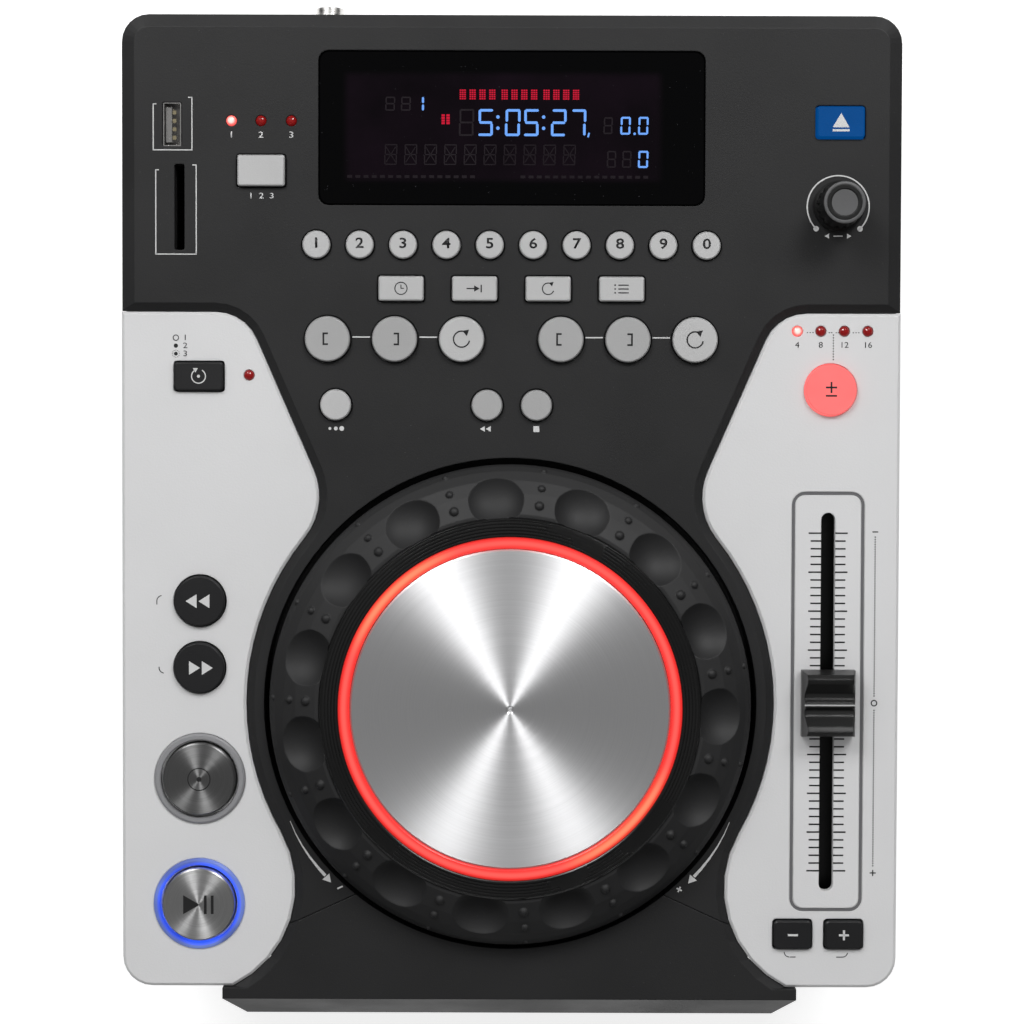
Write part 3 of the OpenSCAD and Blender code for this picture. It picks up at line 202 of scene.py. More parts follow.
def ramp(value, low, high, out_low=0.0, out_high=1.0, smooth=True):
    """value from low..high to out_low..out_high, held at the ends."""
    return add_node(value, "MapRange", {
        "Value": value, "From Min": low, "From Max": high, "To Min": out_low, "To Max": out_high,
    }, interpolation_type="SMOOTHSTEP" if smooth else "LINEAR").outputs["Result"]


def blend(factor, a, b):
    """Colour a where factor is 0, and b where it is 1."""
    n = add_node(factor, "Mix", {0: factor}, data_type="RGBA")
    for slot, value in zip([s for s in n.inputs if s.type == "RGBA"], (a, b)):
        connect(slot, value)
    return [s for s in n.outputs if s.type == "RGBA"][0]


def shade_of(c, k=1.0):
    """Colour c times k, with an alpha of 1."""
    return tuple(min(1.0, v * k) for v in c[:3]) + (1.0,)


def split(place):
    return add_node(place, "SeparateXYZ", {0: place}).outputs


def from_centre(place, centre):
    """place measured from centre, a point x, y of the deck."""
    return vector_maths("SUBTRACT", place, deck_point(*centre))[0]


def deck_axes(place, centre):
    """x and y along the deck in millimetres, measured from centre."""
    away = from_centre(place, centre)
    return [vector_maths("DOT_PRODUCT", away, axis / MM)["Value"] for axis in (RIGHT, BACK)]


def radius_of(x, y):
    """Distance from the point that x and y are measured from."""
    squares = [maths("MULTIPLY", side, side) for side in (x, y)]
    return maths("SQRT", maths("ADD", *squares))


def dust_specks(place, strength):
    """A few points of dust."""
    return ramp(noise(place, 1900.0, 0.0), 0.86, 0.88, 0.0, strength)


def bump(shader, height, depth, strength=1.0, round_edge=0.0):
    """Relief of the given depth in metres, over an edge softened by round_edge metres."""
    relief = add_node(shader, "Bump", {"Distance": depth, "Strength": strength, "Height": height})
    if round_edge:
        soft = add_node(shader, "Bevel", {"Radius": round_edge}, samples=4)
        connect(relief.inputs["Normal"], soft.outputs["Normal"])
    connect(shader.inputs["Normal"], relief.outputs["Normal"])


def grain(shader, place, cells, depth, round_edge=0.0):
    """Fine random relief with so many cells to the metre."""
    bump(shader, noise(place, cells, 1.0), depth, 1.0, round_edge)


def moulded(name, c, rough=0.5, level=0.35, cells=2600.0, depth=0.00004, mottle=0.05, dust=0.0,
            edge=0.0003, metal=0.0, rim=1.0):
    """A moulded or painted surface of colour c. level is its specular level. Its grain has
    so many cells to the metre and is depth metres deep. mottle and dust are shares of tone,
    edge is the radius in metres to which edges look rounded, and rim times the colour is
    painted shade where the surface turns away from the deck's plane."""
    material, shader, place = blank(name)
    slow = noise(place, 38.0, 4.0)
    tone = blend(slow, shade_of(c, 1 - mottle), shade_of(c, 1 + mottle))
    if dust:
        tone = blend(dust_specks(place, dust), tone, (0.1, 0.1, 0.098, 1))
    # painted shade: the colour falls to rim times itself where the surface tilts away from the deck's plane
    if rim != 1.0:
        normal = add_node(shader, "NewGeometry").outputs["Normal"]
        flat = vector_maths("DOT_PRODUCT", normal, UP)["Value"]
        tone = blend(ramp(flat, 0.5, 0.93), shade_of(c, rim), tone)
    wire(shader, {
        "Base Color": tone, "Metallic": metal, "Specular IOR Level": level,
        "Roughness": ramp(slow, 0.3, 0.7, rough - 0.05, rough + 0.05)})
    grain(shader, place, cells, depth, edge)
    return material


def bare_metal(name, c, rough, cells, mottle=0.08, level=0.5, depth=0.00002, edge=0.0001, metal=1.0):
    """A plated or machined metal part."""
    return moulded(name, c, rough, level, cells, depth, mottle, edge=edge, metal=metal)


def lit(name, c, glow, level=0.3):
    """A translucent moulding with a lamp behind it, a little brighter in patches."""
    material, shader, place = blank(name)
    slow = noise(place, 160.0)
    wire(shader, {
        "Base Color": blend(slow, shade_of(c, 0.22), shade_of(c, 0.34)),
        "Emission Color": blend(slow, shade_of(c, 0.92), shade_of(c)),
        "Emission Strength": glow, "Roughness": 0.3, "Specular IOR Level": level})
    grain(shader, place, 1500.0, 0.00003)
    return material


def spun(name, c, centre, rough, aniso, pitch, depth, tone):
    """A turned metal face: tool marks round centre, pitch millimetres apart, depth metres deep."""
    material, shader, place = blank(name)
    x, y = deck_axes(place, centre)
    radius = radius_of(x, y)
    marks = add_node(shader, "CombineXYZ", {
        0: maths("MULTIPLY", radius, 3.0),
        1: maths("MULTIPLY", maths("ARCTAN2", y, x), 0.35)})
    rings = noise(marks.outputs[0], 1.0, 3.0, 0.7)
    wave = maths("SINE", maths("MULTIPLY", radius, 2 * math.pi / pitch))
    outwards = add_node(shader, "VectorTransform", {0: from_centre(place, centre)},
                        vector_type="VECTOR", convert_from="OBJECT", convert_to="WORLD")
    wire(shader, {
        "Base Color": blend(rings, shade_of(c, 1 - tone), shade_of(c, 1 + tone)),
        "Roughness": ramp(rings, 0.3, 0.7, rough - 0.03, rough + 0.03),
        "Metallic": 1.0, "Anisotropic": aniso, "Tangent": outwards.outputs[0]})
    bump(shader, maths("ADD", rings, maths("MULTIPLY", wave, 0.3)), depth)
    return material


def pale_ink():
    return bpy.data.materials.get("pale_print") or moulded(
        "pale_print", settings("player_finishes").light_ink, 0.55, 0.3, 5000, 0.000006, 0.08, edge=0)


def dark_ink():
    return bpy.data.materials.get("dark_print") or moulded(
        "dark_print", settings("player_finishes").dark_ink, 0.5, 0.3, 5000, 0.000006, 0.1, edge=0)


# ---------------------------------------------------------------- object helpers
def settle():
    """Object mode with nothing selected."""
    active = bpy.context.view_layer.objects.active
    if active is not None and active.mode != "OBJECT":
        bpy.ops.object.mode_set(mode="OBJECT")
    bpy.ops.object.select_all(action="DESELECT")


def pick(o):
    """Object mode with o alone selected."""
    settle()
    o.select_set(True)
    bpy.context.view_layer.objects.active = o


def edit_all():
    """Edit mode with the whole mesh selected."""
    bpy.ops.object.mode_set(mode="EDIT")
    bpy.ops.mesh.select_all(action="SELECT")


def close_mesh():
    """Object mode, with the faces turned outwards."""
    bpy.ops.mesh.select_all(action="SELECT")
    bpy.ops.mesh.normals_make_consistent(inside=False)
    bpy.ops.object.mode_set(mode="OBJECT")


def modify(o, kind, **options):
    """Adds a modifier with its options, and applies it."""
    modifier = o.modifiers.new(kind, kind)
    for name, value in options.items():
        setattr(modifier, name, value)
    bpy.ops.object.modifier_apply(modifier=modifier.name)


def shade(angle):
    """Shades faces smoothly that meet at less than angle degrees."""
    bpy.ops.object.shade_smooth_by_angle(angle=math.radians(angle))


def paint(node, material):
    NODES[node].data.materials.clear()
    NODES[node].data.materials.append(material)


def dress(material, *nodes, angle=32.0):
    """Paints CAD nodes and shades their curved faces smoothly."""
    for node in nodes:
        paint(node, material)
        pick(NODES[node])
        shade(angle)


def seat(o, place, body, material):
    """Applies the place of a drawn piece, gives it its material and lets it ride."""
    pick(o)
    o.matrix_world = place
    bpy.ops.object.transform_apply()
    o.data.materials.clear()
    o.data.materials.append(material)
    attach(o, body)


# ---------------------------------------------------------------- drawing helpers
def open_sheet(name):
    """An empty mesh in edit mode, drawn on in millimetres before lay() puts it on the deck."""
    settle()
    bpy.ops.mesh.primitive_plane_add(size=1)
    o = bpy.context.active_object
    o.name = o.data.name = name
    edit_all()
    bpy.ops.mesh.delete(type="VERT")
    return o


def stretch(x, y, wide, long=None):
    """Scales what is selected about x, y."""
    bpy.ops.transform.resize(value=(wide, long or wide, 1), center_override=(x, y, 0))


def turn_by(x, y, turn):
    """Turns what is selected about x, y by degrees."""
    if turn:
        bpy.ops.transform.rotate(
            value=-math.radians(turn), orient_axis="Z", center_override=(x, y, 0))


def ring_of(x, y, r, n, fill="NGON", z=0.0):
    bpy.ops.mesh.primitive_circle_add(vertices=n, radius=r, fill_type=fill, location=(x, y, z))


def bar(x, y, w, l, turn=0.0, cut=0.0):
    """A bar w wide and l deep, turned by degrees, its corners cut by cut."""
    bpy.ops.mesh.primitive_plane_add(size=1, location=(x, y, 0))
    stretch(x, y, w, l)
    turn_by(x, y, turn)
    if cut:
        bpy.ops.mesh.bevel(offset=cut, segments=1, affect="VERTICES")


def disc(x, y, r, n=20):
    ring_of(x, y, r, n)


def arrow_head(x, y, r, turn=0.0, tall=1.0):
    """A filled triangle that points to +y, turned by degrees."""
    ring_of(x, y, r, 3)
    stretch(x, y, 1, tall)
    turn_by(x, y, turn)


def arc(x, y, r, w, start=0.0, sweep=360.0, n=48):
    """A band w wide at radius r from start, counter-clockwise, over sweep degrees."""
    inner, outer = r - w / 2, r + w / 2
    ring_of(x, y, inner, n, "NOTHING")
    bpy.ops.mesh.extrude_edges_move()
    stretch(x, y, outer / inner)
    if sweep >= 360:
        return
    data = bpy.context.edit_object.data
    mesh = bmesh.from_edit_mesh(data)
    bpy.ops.mesh.select_all(action="DESELECT")
    for f in mesh.faces:
        c = f.calc_center_median()
        if abs(math.hypot(c.x - x, c.y - y) - r) > w:
            continue
        a = (math.degrees(math.atan2(c.y - y, c.x - x)) - start) % 360
        f.select = a > sweep
    mesh.select_flush_mode()
    bmesh.update_edit_mesh(data)
    if any(f.select for f in mesh.faces):
        bpy.ops.mesh.delete(type="FACE")


def frame_line(x, y, w, l, r, line):
    """A rounded rectangular line of the given width, w by l over its outside."""
    bar(x, y, w, l)
    bpy.ops.mesh.bevel(offset=r, segments=6, affect="VERTICES")
    bpy.ops.mesh.inset(thickness=line, depth=0)
    bpy.ops.mesh.delete(type="FACE")


def number(text, x, y, size, wide=1.25, bold=0.0):
    """Digits as a mesh in millimetres, centred on x, y."""
    settle()
    bpy.ops.object.text_add(location=(0, 0, 0))
    letters = bpy.context.active_object.data
    letters.body = text
    letters.size = size
    letters.offset = bold
    letters.align_x = letters.align_y = "CENTER"
    letters.resolution_u = 3
    bpy.ops.object.convert(target="MESH")
    stretch(0, 0, wide, 1)
    bpy.ops.transform.translate(value=(x, y, 0))
    bpy.ops.object.transform_apply()
    return bpy.context.active_object


def gather(target, parts):
    """Joins parts into target."""
    pick(target)
    for p in parts:
        p.select_set(True)
    bpy.ops.object.join()


def lay(o, z, body, material, depth=INK, sink=0.01):
    """Gives a drawn sheet its thickness and lays it on the deck frame at height z."""
    pick(o)
    modify(o, "SOLIDIFY", thickness=depth, offset=0)
    seat(o, DECK @ Matrix.Translation((0, 0, z + depth / 2 - sink)), body, material)


def turned(name, x, y, z, profile, n=64):
    """A closed turned piece in deck millimetres, from rings of radius and height over z."""
    settle()
    r, h = profile[0]
    ring_of(x, y, r, n, z=z + h)
    o = bpy.context.active_object
    o.name = o.data.name = name
    edit_all()
    for wide, high in profile[1:]:
        bpy.ops.mesh.extrude_region_move(TRANSFORM_OT_translate={"value": (0, 0, high - h)})
        bpy.ops.transform.resize(value=(wide / r, wide / r, 1), center_override=(x, y, z + high))
        r, h = wide, high
    close_mesh()
    bpy.ops.object.transform_apply()
    shade(35)
    return o


# ---------------------------------------------------------------- finishes of the CAD nodes
class PLAYER_OT_dress_housing(bpy.types.Operator):
    """Gives the mouldings, the window, the case and its fittings their finishes"""

    bl_idname = "player.dress_housing"
    bl_label = "Dress the housing"

    def execute(self, context):
        f = settings("player_finishes")
        dress(moulded("black_moulding", f.deck, 0.52, 0.2, 2400, 0.00003, 0.06, 0.3, 0.0004),
              "top_deck", "front_fascia")
        dress(moulded("silver_lacquer", f.silver, 0.5, 0.25, 1900, 0.00003, 0.03, edge=0.0004),
              "left_cheek", "right_cheek")
        dress(moulded("powder_coat", (0.016, 0.016, 0.017), 0.6, 0.35, 900, 0.00006, 0.08), "bottom_case")
        dress(moulded("foot_rubber", (0.012, 0.012, 0.012), 0.8, 0.2, 1400, 0.00005, 0.1), "rubber_feet")
        dress(bare_metal("zinc_plate", (0.42, 0.42, 0.43), 0.34, 700), "case_screws")
        dress(bare_metal("socket_shell", (0.52, 0.51, 0.50), 0.3, 600, 0.1), "usb_socket")
        dress(self.window(), "display_window")
        dress(self.rings(), "button_rings")
        dress(self.rear(), "rear_sockets")
        dress(self.lamps(), "indicator_lamps")
        paint("card_socket", moulded("card_socket_black", (0.006, 0.006, 0.006), 0.5, 0.3))
        paint("power_switch", moulded("rocker_black", (0.014, 0.014, 0.015), 0.35, 0.4))
        return {"FINISHED"}

    def window(self):
        """Dark glass, warmer where the display sits behind it, with fine scratches."""
        material, shader, place = blank("smoked_window")
        x, y = deck_axes(place, (-2.5, 110.4))
        inside = maths("MULTIPLY",
                       ramp(maths("ABSOLUTE", x), 43.5, 46.5, 1.0, 0.0),
                       ramp(maths("ABSOLUTE", y), 14.0, 16.5, 1.0, 0.0))
        patch = maths("MULTIPLY", inside, noise(place, 70.0, 3.0))
        tone = blend(patch, (0.0012, 0.0012, 0.0014, 1), (0.0085, 0.0042, 0.0082, 1))
        tone = blend(dust_specks(place, 0.3), tone, (0.10, 0.10, 0.11, 1))
        wire(shader, {"Base Color": tone, "Roughness": 0.16, "Specular IOR Level": 0.08})
        scratches = add_node(shader, "Mapping", {"Scale": (1800, 90, 90), "Vector": place}).outputs[0]
        bump(shader, noise(scratches, 1.0, 2.0), 0.000004, 0.6)
        return material

    def rings(self):
        """Clear grey ring round the cue key, and the lit blue one round the play key."""
        material, shader, place = blank("key_rings")
        x, y = deck_axes(place, spot("play_key")[:2])
        play = ramp(y, 18.0, 19.0, 1.0, 0.0)
        outer = ramp(radius_of(x, y), 11.6, 12.5)
        blue = shade_of(settings("player_lights").ring_blue)
        around = ramp(noise(place, 90.0, 1.0), 0.35, 0.65, 0.55, 1.05)
        wire(shader, {
            "Base Color": blend(play, (0.26, 0.26, 0.27, 1), (0.05, 0.07, 0.28, 1)),
            "Emission Color": blend(outer, blue, (0.10, 0.15, 0.36, 1)),
            "Emission Strength": maths("MULTIPLY", play, around), "Roughness": 0.28})
        grain(shader, place, 1500.0, 0.00002)
        return material

    def lamps(self):
        """Red resin lamps; the first of the source row and of the pitch row are lit."""
        material, shader, place = blank("lamp_resin")
        near = [ramp(radius_of(*deck_axes(place, centre)), 0.3, 2.2, 1.0, 0.0)
                for centre in ((SOURCE_LAMPS[0], 112.0), (RANGE_LAMP, 52.3))]
        glow = maths("MAXIMUM", *near)
        core = ramp(glow, 0.55, 1.0)
        hot = blend(core, (0.95, 0.10, 0.09, 1), (1.0, 0.62, 0.58, 1))
        wire(shader, {
            "Base Color": blend(glow, (0.20, 0.004, 0.004, 1), (0.9, 0.35, 0.3, 1)),
            "Emission Color": blend(ramp(glow, 0.0, 0.3), (0.5, 0.01, 0.01, 1), hot),
            "Emission Strength": ramp(glow, 0, 0.4, 0.12, 0.95, False), "Roughness": 0.18})
        grain(shader, place, 900.0, 0.00002)
        return material

    def rear(self):
        """Bright barrels and jack sleeve, black everywhere else."""
        material, shader, place = blank("rear_socket_parts")
        x, y, _z = split(place)
        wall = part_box("bottom_case")[1].y
        out = ramp(y, wall - 0.0005, wall - 0.0004, 0, 1, False)
        left = ramp(x, -0.0240, -0.0239, 1, 0, False)
        metal = maths("MULTIPLY", out, left)
        mottle = noise(place, 900.0)
        wire(shader, {
            "Base Color": blend(metal, (0.014, 0.014, 0.015, 1), (0.72, 0.71, 0.69, 1)),
            "Metallic": metal, "Roughness": ramp(mottle, 0.3, 0.7, 0.26, 0.38)})
        bump(shader, mottle, 0.000005)
        return material


class PLAYER_OT_dress_keys(bpy.types.Operator):
    """Gives every key, the knob and the fader their finishes"""

    bl_idname = "player.dress_keys"
    bl_label = "Dress the keys"

    def execute(self, context):
        f = settings("player_finishes")
        dress(self.domed("mid_key", f.key_mid), "reverse_key", "brake_key",
              *(f"loop_{side}_{end}_key" for side in "ab" for end in ("in", "out")))
        dress(self.domed("pale_key", f.key), *(f"number_key_{i}" for i in range(10)),
              "loop_a_again_key", "loop_b_again_key", "source_key", "tap_key",
              "time_key", "single_key", "repeat_key", "program_key")
        dress(moulded("dark_key", f.key_dark, 0.45, 0.3, 2600, 0.00003, 0.06), "jog_mode_key",
              "search_back_key", "search_forward_key", "pitch_minus_key", "pitch_plus_key")
        dress(lit("lit_salmon", (1.0, 0.185, 0.18), 0.82), "pitch_range_key")
        dress(lit("lit_blue_key", (0.0006, 0.062, 0.24), 0.8, level=0.12), "eject_key")
        for n, tone in (("cue_key", 0.24), ("play_key", 0.52)):
            dress(spun("spun_" + n, (tone, tone, tone), spot(n)[:2], 0.38, 0.9, 0.3, 0.00001, 0.3), n)
        dress(moulded("knob_rubber", (0.007, 0.007, 0.007), 0.5, 0.2, 1800, 0.00004, 0.08), "select_knob")
        dress(moulded("fader_gloss", (0.009, 0.009, 0.009), 0.3, 0.45, 1200, 0.00002, 0.1, 0.3, 0.0009),
              "fader_cap")
        paint("fader_track", bare_metal("track_steel", (0.05, 0.05, 0.05), 0.4, 900, 0.1, 0.4, edge=0))
        return {"FINISHED"}

    def domed(self, name, c):
        """Satin key plastic, with painted shade round each key's rounded rim."""
        return moulded(name, c, 0.42, 0.4, 2600, 0.00002, 0.03, rim=0.45)


class PLAYER_OT_dress_jog(bpy.types.Operator):
    """Gives the jog wheel its rubber, gloss, light and spun steel"""

    bl_idname = "player.dress_jog"
    bl_label = "Dress the jog wheel"

    def execute(self, context):
        f = settings("player_finishes")
        rim = moulded("rim_rubber", f.rubber, 0.62, 0.3, 1300, 0.00002, 0.16, 0.2, 0.0006)
        bezel = moulded("bezel_gloss", (0.006, 0.006, 0.006), 0.3, 0.35, 1300, 0.00001, 0.1, edge=0.0001)
        plate = spun("spun_steel", f.steel, (0, JOG_Y), 0.44, 0.87, 0.9, 0.000008, 0.09)
        spindle = bare_metal("spindle_steel", (0.5, 0.5, 0.5), 0.3, 800, 0.1, depth=0.00001, edge=0)
        for node, material in (("jog_wheel", rim), ("jog_bezel", bezel), ("jog_plate", plate),
                               ("jog_spindle", spindle), ("jog_light_ring", self.ring())):
            dress(material, node, angle=24.0)
        return {"FINISHED"}

    def ring_span(self):
        """Least and greatest radius of the light ring, in millimetres."""
        radii = [math.hypot(p.x, p.y - JOG_Y) for p in deck_points("jog_light_ring")]
        return min(radii), max(radii)

    def ring(self):
        """Red diffuser, more orange where its lamps sit behind it."""
        material, shader, place = blank("ring_diffuser")
        light = settings("player_lights")
        x, y = deck_axes(place, (0, JOG_Y))
        from_lamp = maths("SUBTRACT", maths("ARCTAN2", y, x), 2.35)
        lamps = maths("COSINE", maths("MULTIPLY", from_lamp, 2.0))
        hot = ramp(lamps, 0.55, 1.0, 0.0, 0.75)
        red = shade_of(light.ring_red)
        low, high = self.ring_span()
        off_middle = maths("ABSOLUTE", maths("SUBTRACT", radius_of(x, y), (low + high) / 2))
        middle = ramp(off_middle, 0.15, (high - low) / 2, 1.0, 0.0)
        tone = blend(hot, red, (1.0, 0.19, 0.08, 1))
        pale = blend(hot, (1.0, 0.115, 0.095, 1), (1.0, 0.33, 0.16, 1))
        tone = blend(middle, shade_of(red, 0.72), blend(middle, tone, pale))
        wire(shader, {
            "Base Color": blend(hot, (0.30, 0.01, 0.01, 1), (0.4, 0.05, 0.02, 1)),
            "Emission Color": tone, "Emission Strength": light.glow, "Roughness": 0.3})
        grain(shader, place, 1200.0, 0.00002)
        return material


class PLAYER_OT_dress_inside(bpy.types.Operator):
    """Gives the boards and the disc loader their finishes"""

    bl_idname = "player.dress_inside"
    bl_label = "Dress the inside"

    def execute(self, context):
        paint("circuit_boards", self.board())
        dress(bare_metal("loader_sheet", (0.22, 0.22, 0.24), 0.38, 700, edge=0.0002, metal=0.9),
              "loader_frame")
        dress(moulded("tray_moulding", (0.018, 0.018, 0.019), 0.45, 0.35, 2200, mottle=0.06), "disc_tray")
        dress(bare_metal("turntable_metal", (0.40, 0.40, 0.41), 0.32, 700), "disc_turntable")
        dress(moulded("sled_cast", (0.10, 0.10, 0.11), 0.5, 0.4, 900, 0.00003, 0.1, edge=0.0002),
              "laser_sled")
        return {"FINISHED"}

    def board(self):
        """Green solder mask with faint tracks."""
        material, shader, place = blank("solder_mask")
        tracks = add_node(shader, "TexBrick", {
            "Vector": place, "Scale": 90.0, "Mortar Size": 0.03, "Mortar": (0.03, 0.17, 0.06, 1),
            "Color1": (0.012, 0.10, 0.035, 1), "Color2": (0.010, 0.085, 0.03, 1)})
        wire(shader, {
            "Base Color": tracks.outputs["Color"],
            "Roughness": ramp(noise(place, 60.0), 0.3, 0.7, 0.3, 0.45)})
        bump(shader, noise(place, 900.0), 0.00002)
        return material


# ---------------------------------------------------------------- printed marks
class PLAYER_OT_print_deck(bpy.types.Operator):
    """Prints the pale lines, numbers and signs on the black deck"""

    bl_idname = "player.print_deck"
    bl_label = "Print the deck"

    def execute(self, context):
        o = open_sheet("deck_print")
        self.socket_frame(-102.8, -91.7, 103.6, 118.6, 1.9)
        self.socket_frame(-102.1, -90.5, 73.8, 99.3, 1.4)
        self.knob_scale(*spot("select_knob")[:2])
        # lines between the loop keys
        for side in ("a", "b"):
            xs = [spot(f"loop_{side}_{n}_key")[0] for n in ("in", "out", "again")]
            y = spot(f"loop_{side}_in_key")[1] + 0.6
            for i in (0, 1):
                bar((xs[i] + xs[i + 1]) / 2, y, xs[i + 1] - xs[i] - 14.2, 0.36)
        # signs under the small keys
        below = 6.8
        x, y, _ = spot("tap_key")
        for i in (-1, 0, 1):
            disc(x + 1.7 * i, y - below, 0.42 + 0.14 * (i + 1), 14)
        x, y, _ = spot("reverse_key")
        for i in (0, 1):
            arrow_head(x - 1.1 + 1.7 * i, y - below, 0.95, 90)
        x, y, _ = spot("brake_key")
        bar(x, y - below, 1.7, 1.7)
        # turning arrows beside the jog wheel, with minus and plus
        for side in (-1, 1):
            self.sweep_arrow(side)
        bar(-49.1, -108.9, 1.7, 0.42, 24.7)
        for a in (0, 90):
            bar(49.1, -109.2, 1.7, 0.42, -24.7 + a)
        x, y, _ = spot("source_key")
        digits = []
        for i, lamp_x in enumerate(SOURCE_LAMPS):
            text = str(i + 1)
            digits.append(number(text, lamp_x, 107.9, 2.5, bold=0.03))
            digits.append(number(text, x + 3.0 * (i - 1), y - 7.2, 2.3, bold=0.03))
        gather(o, digits)
        lay(o, 0.0, "housing", pale_ink())
        return {"FINISHED"}

    def socket_frame(self, left, right, low, high, step):
        """A line round a socket, whose left side ends lower by step and leaves it open."""
        bar((left + right) / 2, low, right - left + LINE, LINE)
        bar(right, (low + high) / 2, LINE, high - low)
        bar(right - 0.5, high, 1.2, LINE)
        bar(left, (low + high - step) / 2, LINE, high - step - low)
        bar(left + 0.4, high - step, 1.0, LINE)

    def knob_scale(self, x, y):
        """An arc with dots at its ends, and a double arrow in its gap."""
        r = 8.9
        arc(x, y, r, 0.38, -45, 270, 72)
        for a in (-45, 225):
            disc(x + r * math.cos(math.radians(a)), y + r * math.sin(math.radians(a)), 0.8)
        for side in (-1, 1):
            arrow_head(x + side * 3.0, y - 8.4, 0.85, -90 * side)
        bar(x, y - 8.4, 2.6, LINE)

    def sweep_arrow(self, side):
        """A curved stroke that widens towards its head, on one side of the jog wheel."""
        points = [(63.5, -89.7, 0.12), (62.0, -93.2, 0.24), (60.1, -96.7, 0.38), (57.9, -100.0, 0.55),
                  (55.4, -103.2, 0.75), (53.4, -105.4, 0.9)]
        for (x, y, w), (next_x, next_y, next_w) in zip(points, points[1:]):
            dx, dy = next_x - x, next_y - y
            turn = math.degrees(math.atan2(dy, dx))
            for k in (0.25, 0.75):
                bar(side * (x + dx * k), y + dy * k, math.hypot(dx, dy) * 0.56,
                    w + (next_w - w) * k, turn if side > 0 else 180 - turn)
        arrow_head(side * 52.7, -106.3, 1.55, side * 139)


class PLAYER_OT_print_cheeks(bpy.types.Operator):
    """Prints the dark scales, numbers and signs on the silver cheeks"""

    bl_idname = "player.print_cheeks"
    bl_label = "Print the cheeks"

    def execute(self, context):
        o = open_sheet("left_cheek_print")
        # the three ways of the jog wheel: a circle, a dot, and a dot in a dotted circle
        mode_x = -96.6
        rows = [49.9 - 2.3 * i for i in range(3)]
        arc(mode_x, rows[0], 0.78, 0.26, n=20)
        disc(mode_x, rows[1], 0.62, 16)
        disc(mode_x, rows[2], 0.55, 16)
        for i in range(12):
            a = math.radians(30 * i)
            disc(mode_x + 1.02 * math.cos(a), rows[2] + 1.02 * math.sin(a), 0.13, 6)
        # ends of the bracket beside the search keys
        arc(-100.6, -26.1, 1.6, 0.26, 95, 85, 40)
        bar(-102.2, -26.6, 0.26, 1.0)
        bar(-101.6, -44.8, 0.26, 1.0)
        arc(-100.0, -45.4, 1.6, 0.26, 180, 85, 40)
        gather(o, [number(str(i + 1), -93.9, y, 2.3) for i, y in enumerate(rows)])
        lay(o, CHEEK_Z, "housing", dark_ink())

        o = open_sheet("right_cheek_print")
        inner = 2.05
        for k in range(21):
            outer = 5.65 if k % 5 == 0 else 5.05
            for side in (-1, 1):
                for hand in (-1, 1):
                    bar(FADER_X + hand * (outer + inner) / 2, FADER_Y + side * (49.0 - 2.256 * k),
                        outer - inner, 0.44)
        # dotted scale with minus, zero and plus
        scale_x = 105.3
        bar(scale_x, -5.5, 1.7, 0.32)
        arc(scale_x, -55.1, 0.8, 0.34, n=20)
        bar(scale_x, -104.5, 1.8, 0.32)
        bar(scale_x, -104.5, 0.32, 1.8)
        gaps = 65
        for start, stop in ((-7.0, -53.0), (-57.2, -102.4)):
            for i in range(gaps + 1):
                bar(scale_x, start + (stop - start) * i / gaps, 0.38, 0.34)
        # links between the pitch lamps and down to the range key
        for x in (85.3, 86.1, 86.9, 91.6, 92.3, 93.6, 94.2, 98.5, 99.3, 100.1):
            bar(x, 51.9, 0.34, 0.26)
        for i in range(10):
            bar(92.8, 51.2 - 0.78 * i, 0.34, 0.36)
        # brackets under the two step keys
        for x, inwards, start in ((80.3, 1, 190), (97.7, -1, 270)):
            arc(x + inwards, -127.6, 1.5, 0.24, start, 80, 40)
            bar(x + 2 * inwards, -129.1, 1.6, 0.24)
        gather(o, [number(text, RANGE_LAMP + 6.77 * i, 48.3, 2.4, 1.1)
                   for i, text in enumerate(("4", "8", "12", "16"))])
        lay(o, CHEEK_Z, "housing", dark_ink())

        o = open_sheet("fader_border")
        frame_line(FADER_X, FADER_Y, 20.9, 121.7, 3.7, 0.85)
        grey = moulded("border_grey", (0.13, 0.13, 0.135), 0.35, 0.4, 2600, 0.00001, 0.05, edge=0)
        lay(o, CHEEK_Z - 0.35, "housing", grey)
        return {"FINISHED"}


def sign(node, ink, draw, depth=INK):
    """A sign of its own on one key."""
    x, y, z = spot(node)
    o = open_sheet(node.replace("_key", "_sign"))
    draw(x, y)
    lay(o, z, node, ink, depth)


def clock(x, y):
    arc(x, y, 1.75, 0.28, n=28)
    bar(x, y + 0.5, 0.26, 1.1)
    bar(x + 0.4, y, 0.9, 0.26)


def to_end(x, y):
    bar(x - 1.2, y, 2.2, 0.32)
    arrow_head(x + 0.4, y, 1.05, -90)
    bar(x + 1.9, y, 0.36, 2.2)


def round_arrow(x, y, r, w, head_x, head_y, head_r):
    arc(x, y, r, w, 60, 285, 36)
    arrow_head(x + head_x, y + head_y, head_r, -50)


def listing(x, y):
    for i in (-1, 0, 1):
        bar(x + 0.5, y + 1.1 * i, 3.0, 0.3)
        disc(x - 1.9, y + 1.1 * i, 0.24, 10)


def bracket(x, y, side):
    bar(x + 1.1 * side, y, 0.5, 3.6)
    for end in (-1, 1):
        bar(x + 0.5 * side, y + 1.55 * end, 1.4, 0.5)


def wheel(x, y):
    arc(x, y, 2.0, 0.3, 120, 300, 36)
    arrow_head(x - 0.9, y + 1.9, 0.85, 60)
    disc(x, y, 0.45, 14)


def chevrons(x, y, hand):
    for i in (-0.5, 0.5):
        arrow_head(x + 3.7 * i, y, 2.3, -90 * hand, 0.92)


def minus(x, y):
    bar(x, y, 2.9, 0.62)


def plus(x, y):
    minus(x, y)
    bar(x, y, 0.62, 2.9)


def plus_minus(x, y):
    bar(x, y + 0.7, 3.2, 0.5)
    bar(x, y + 0.7, 0.5, 3.2)
    bar(x, y - 1.7, 3.2, 0.5)


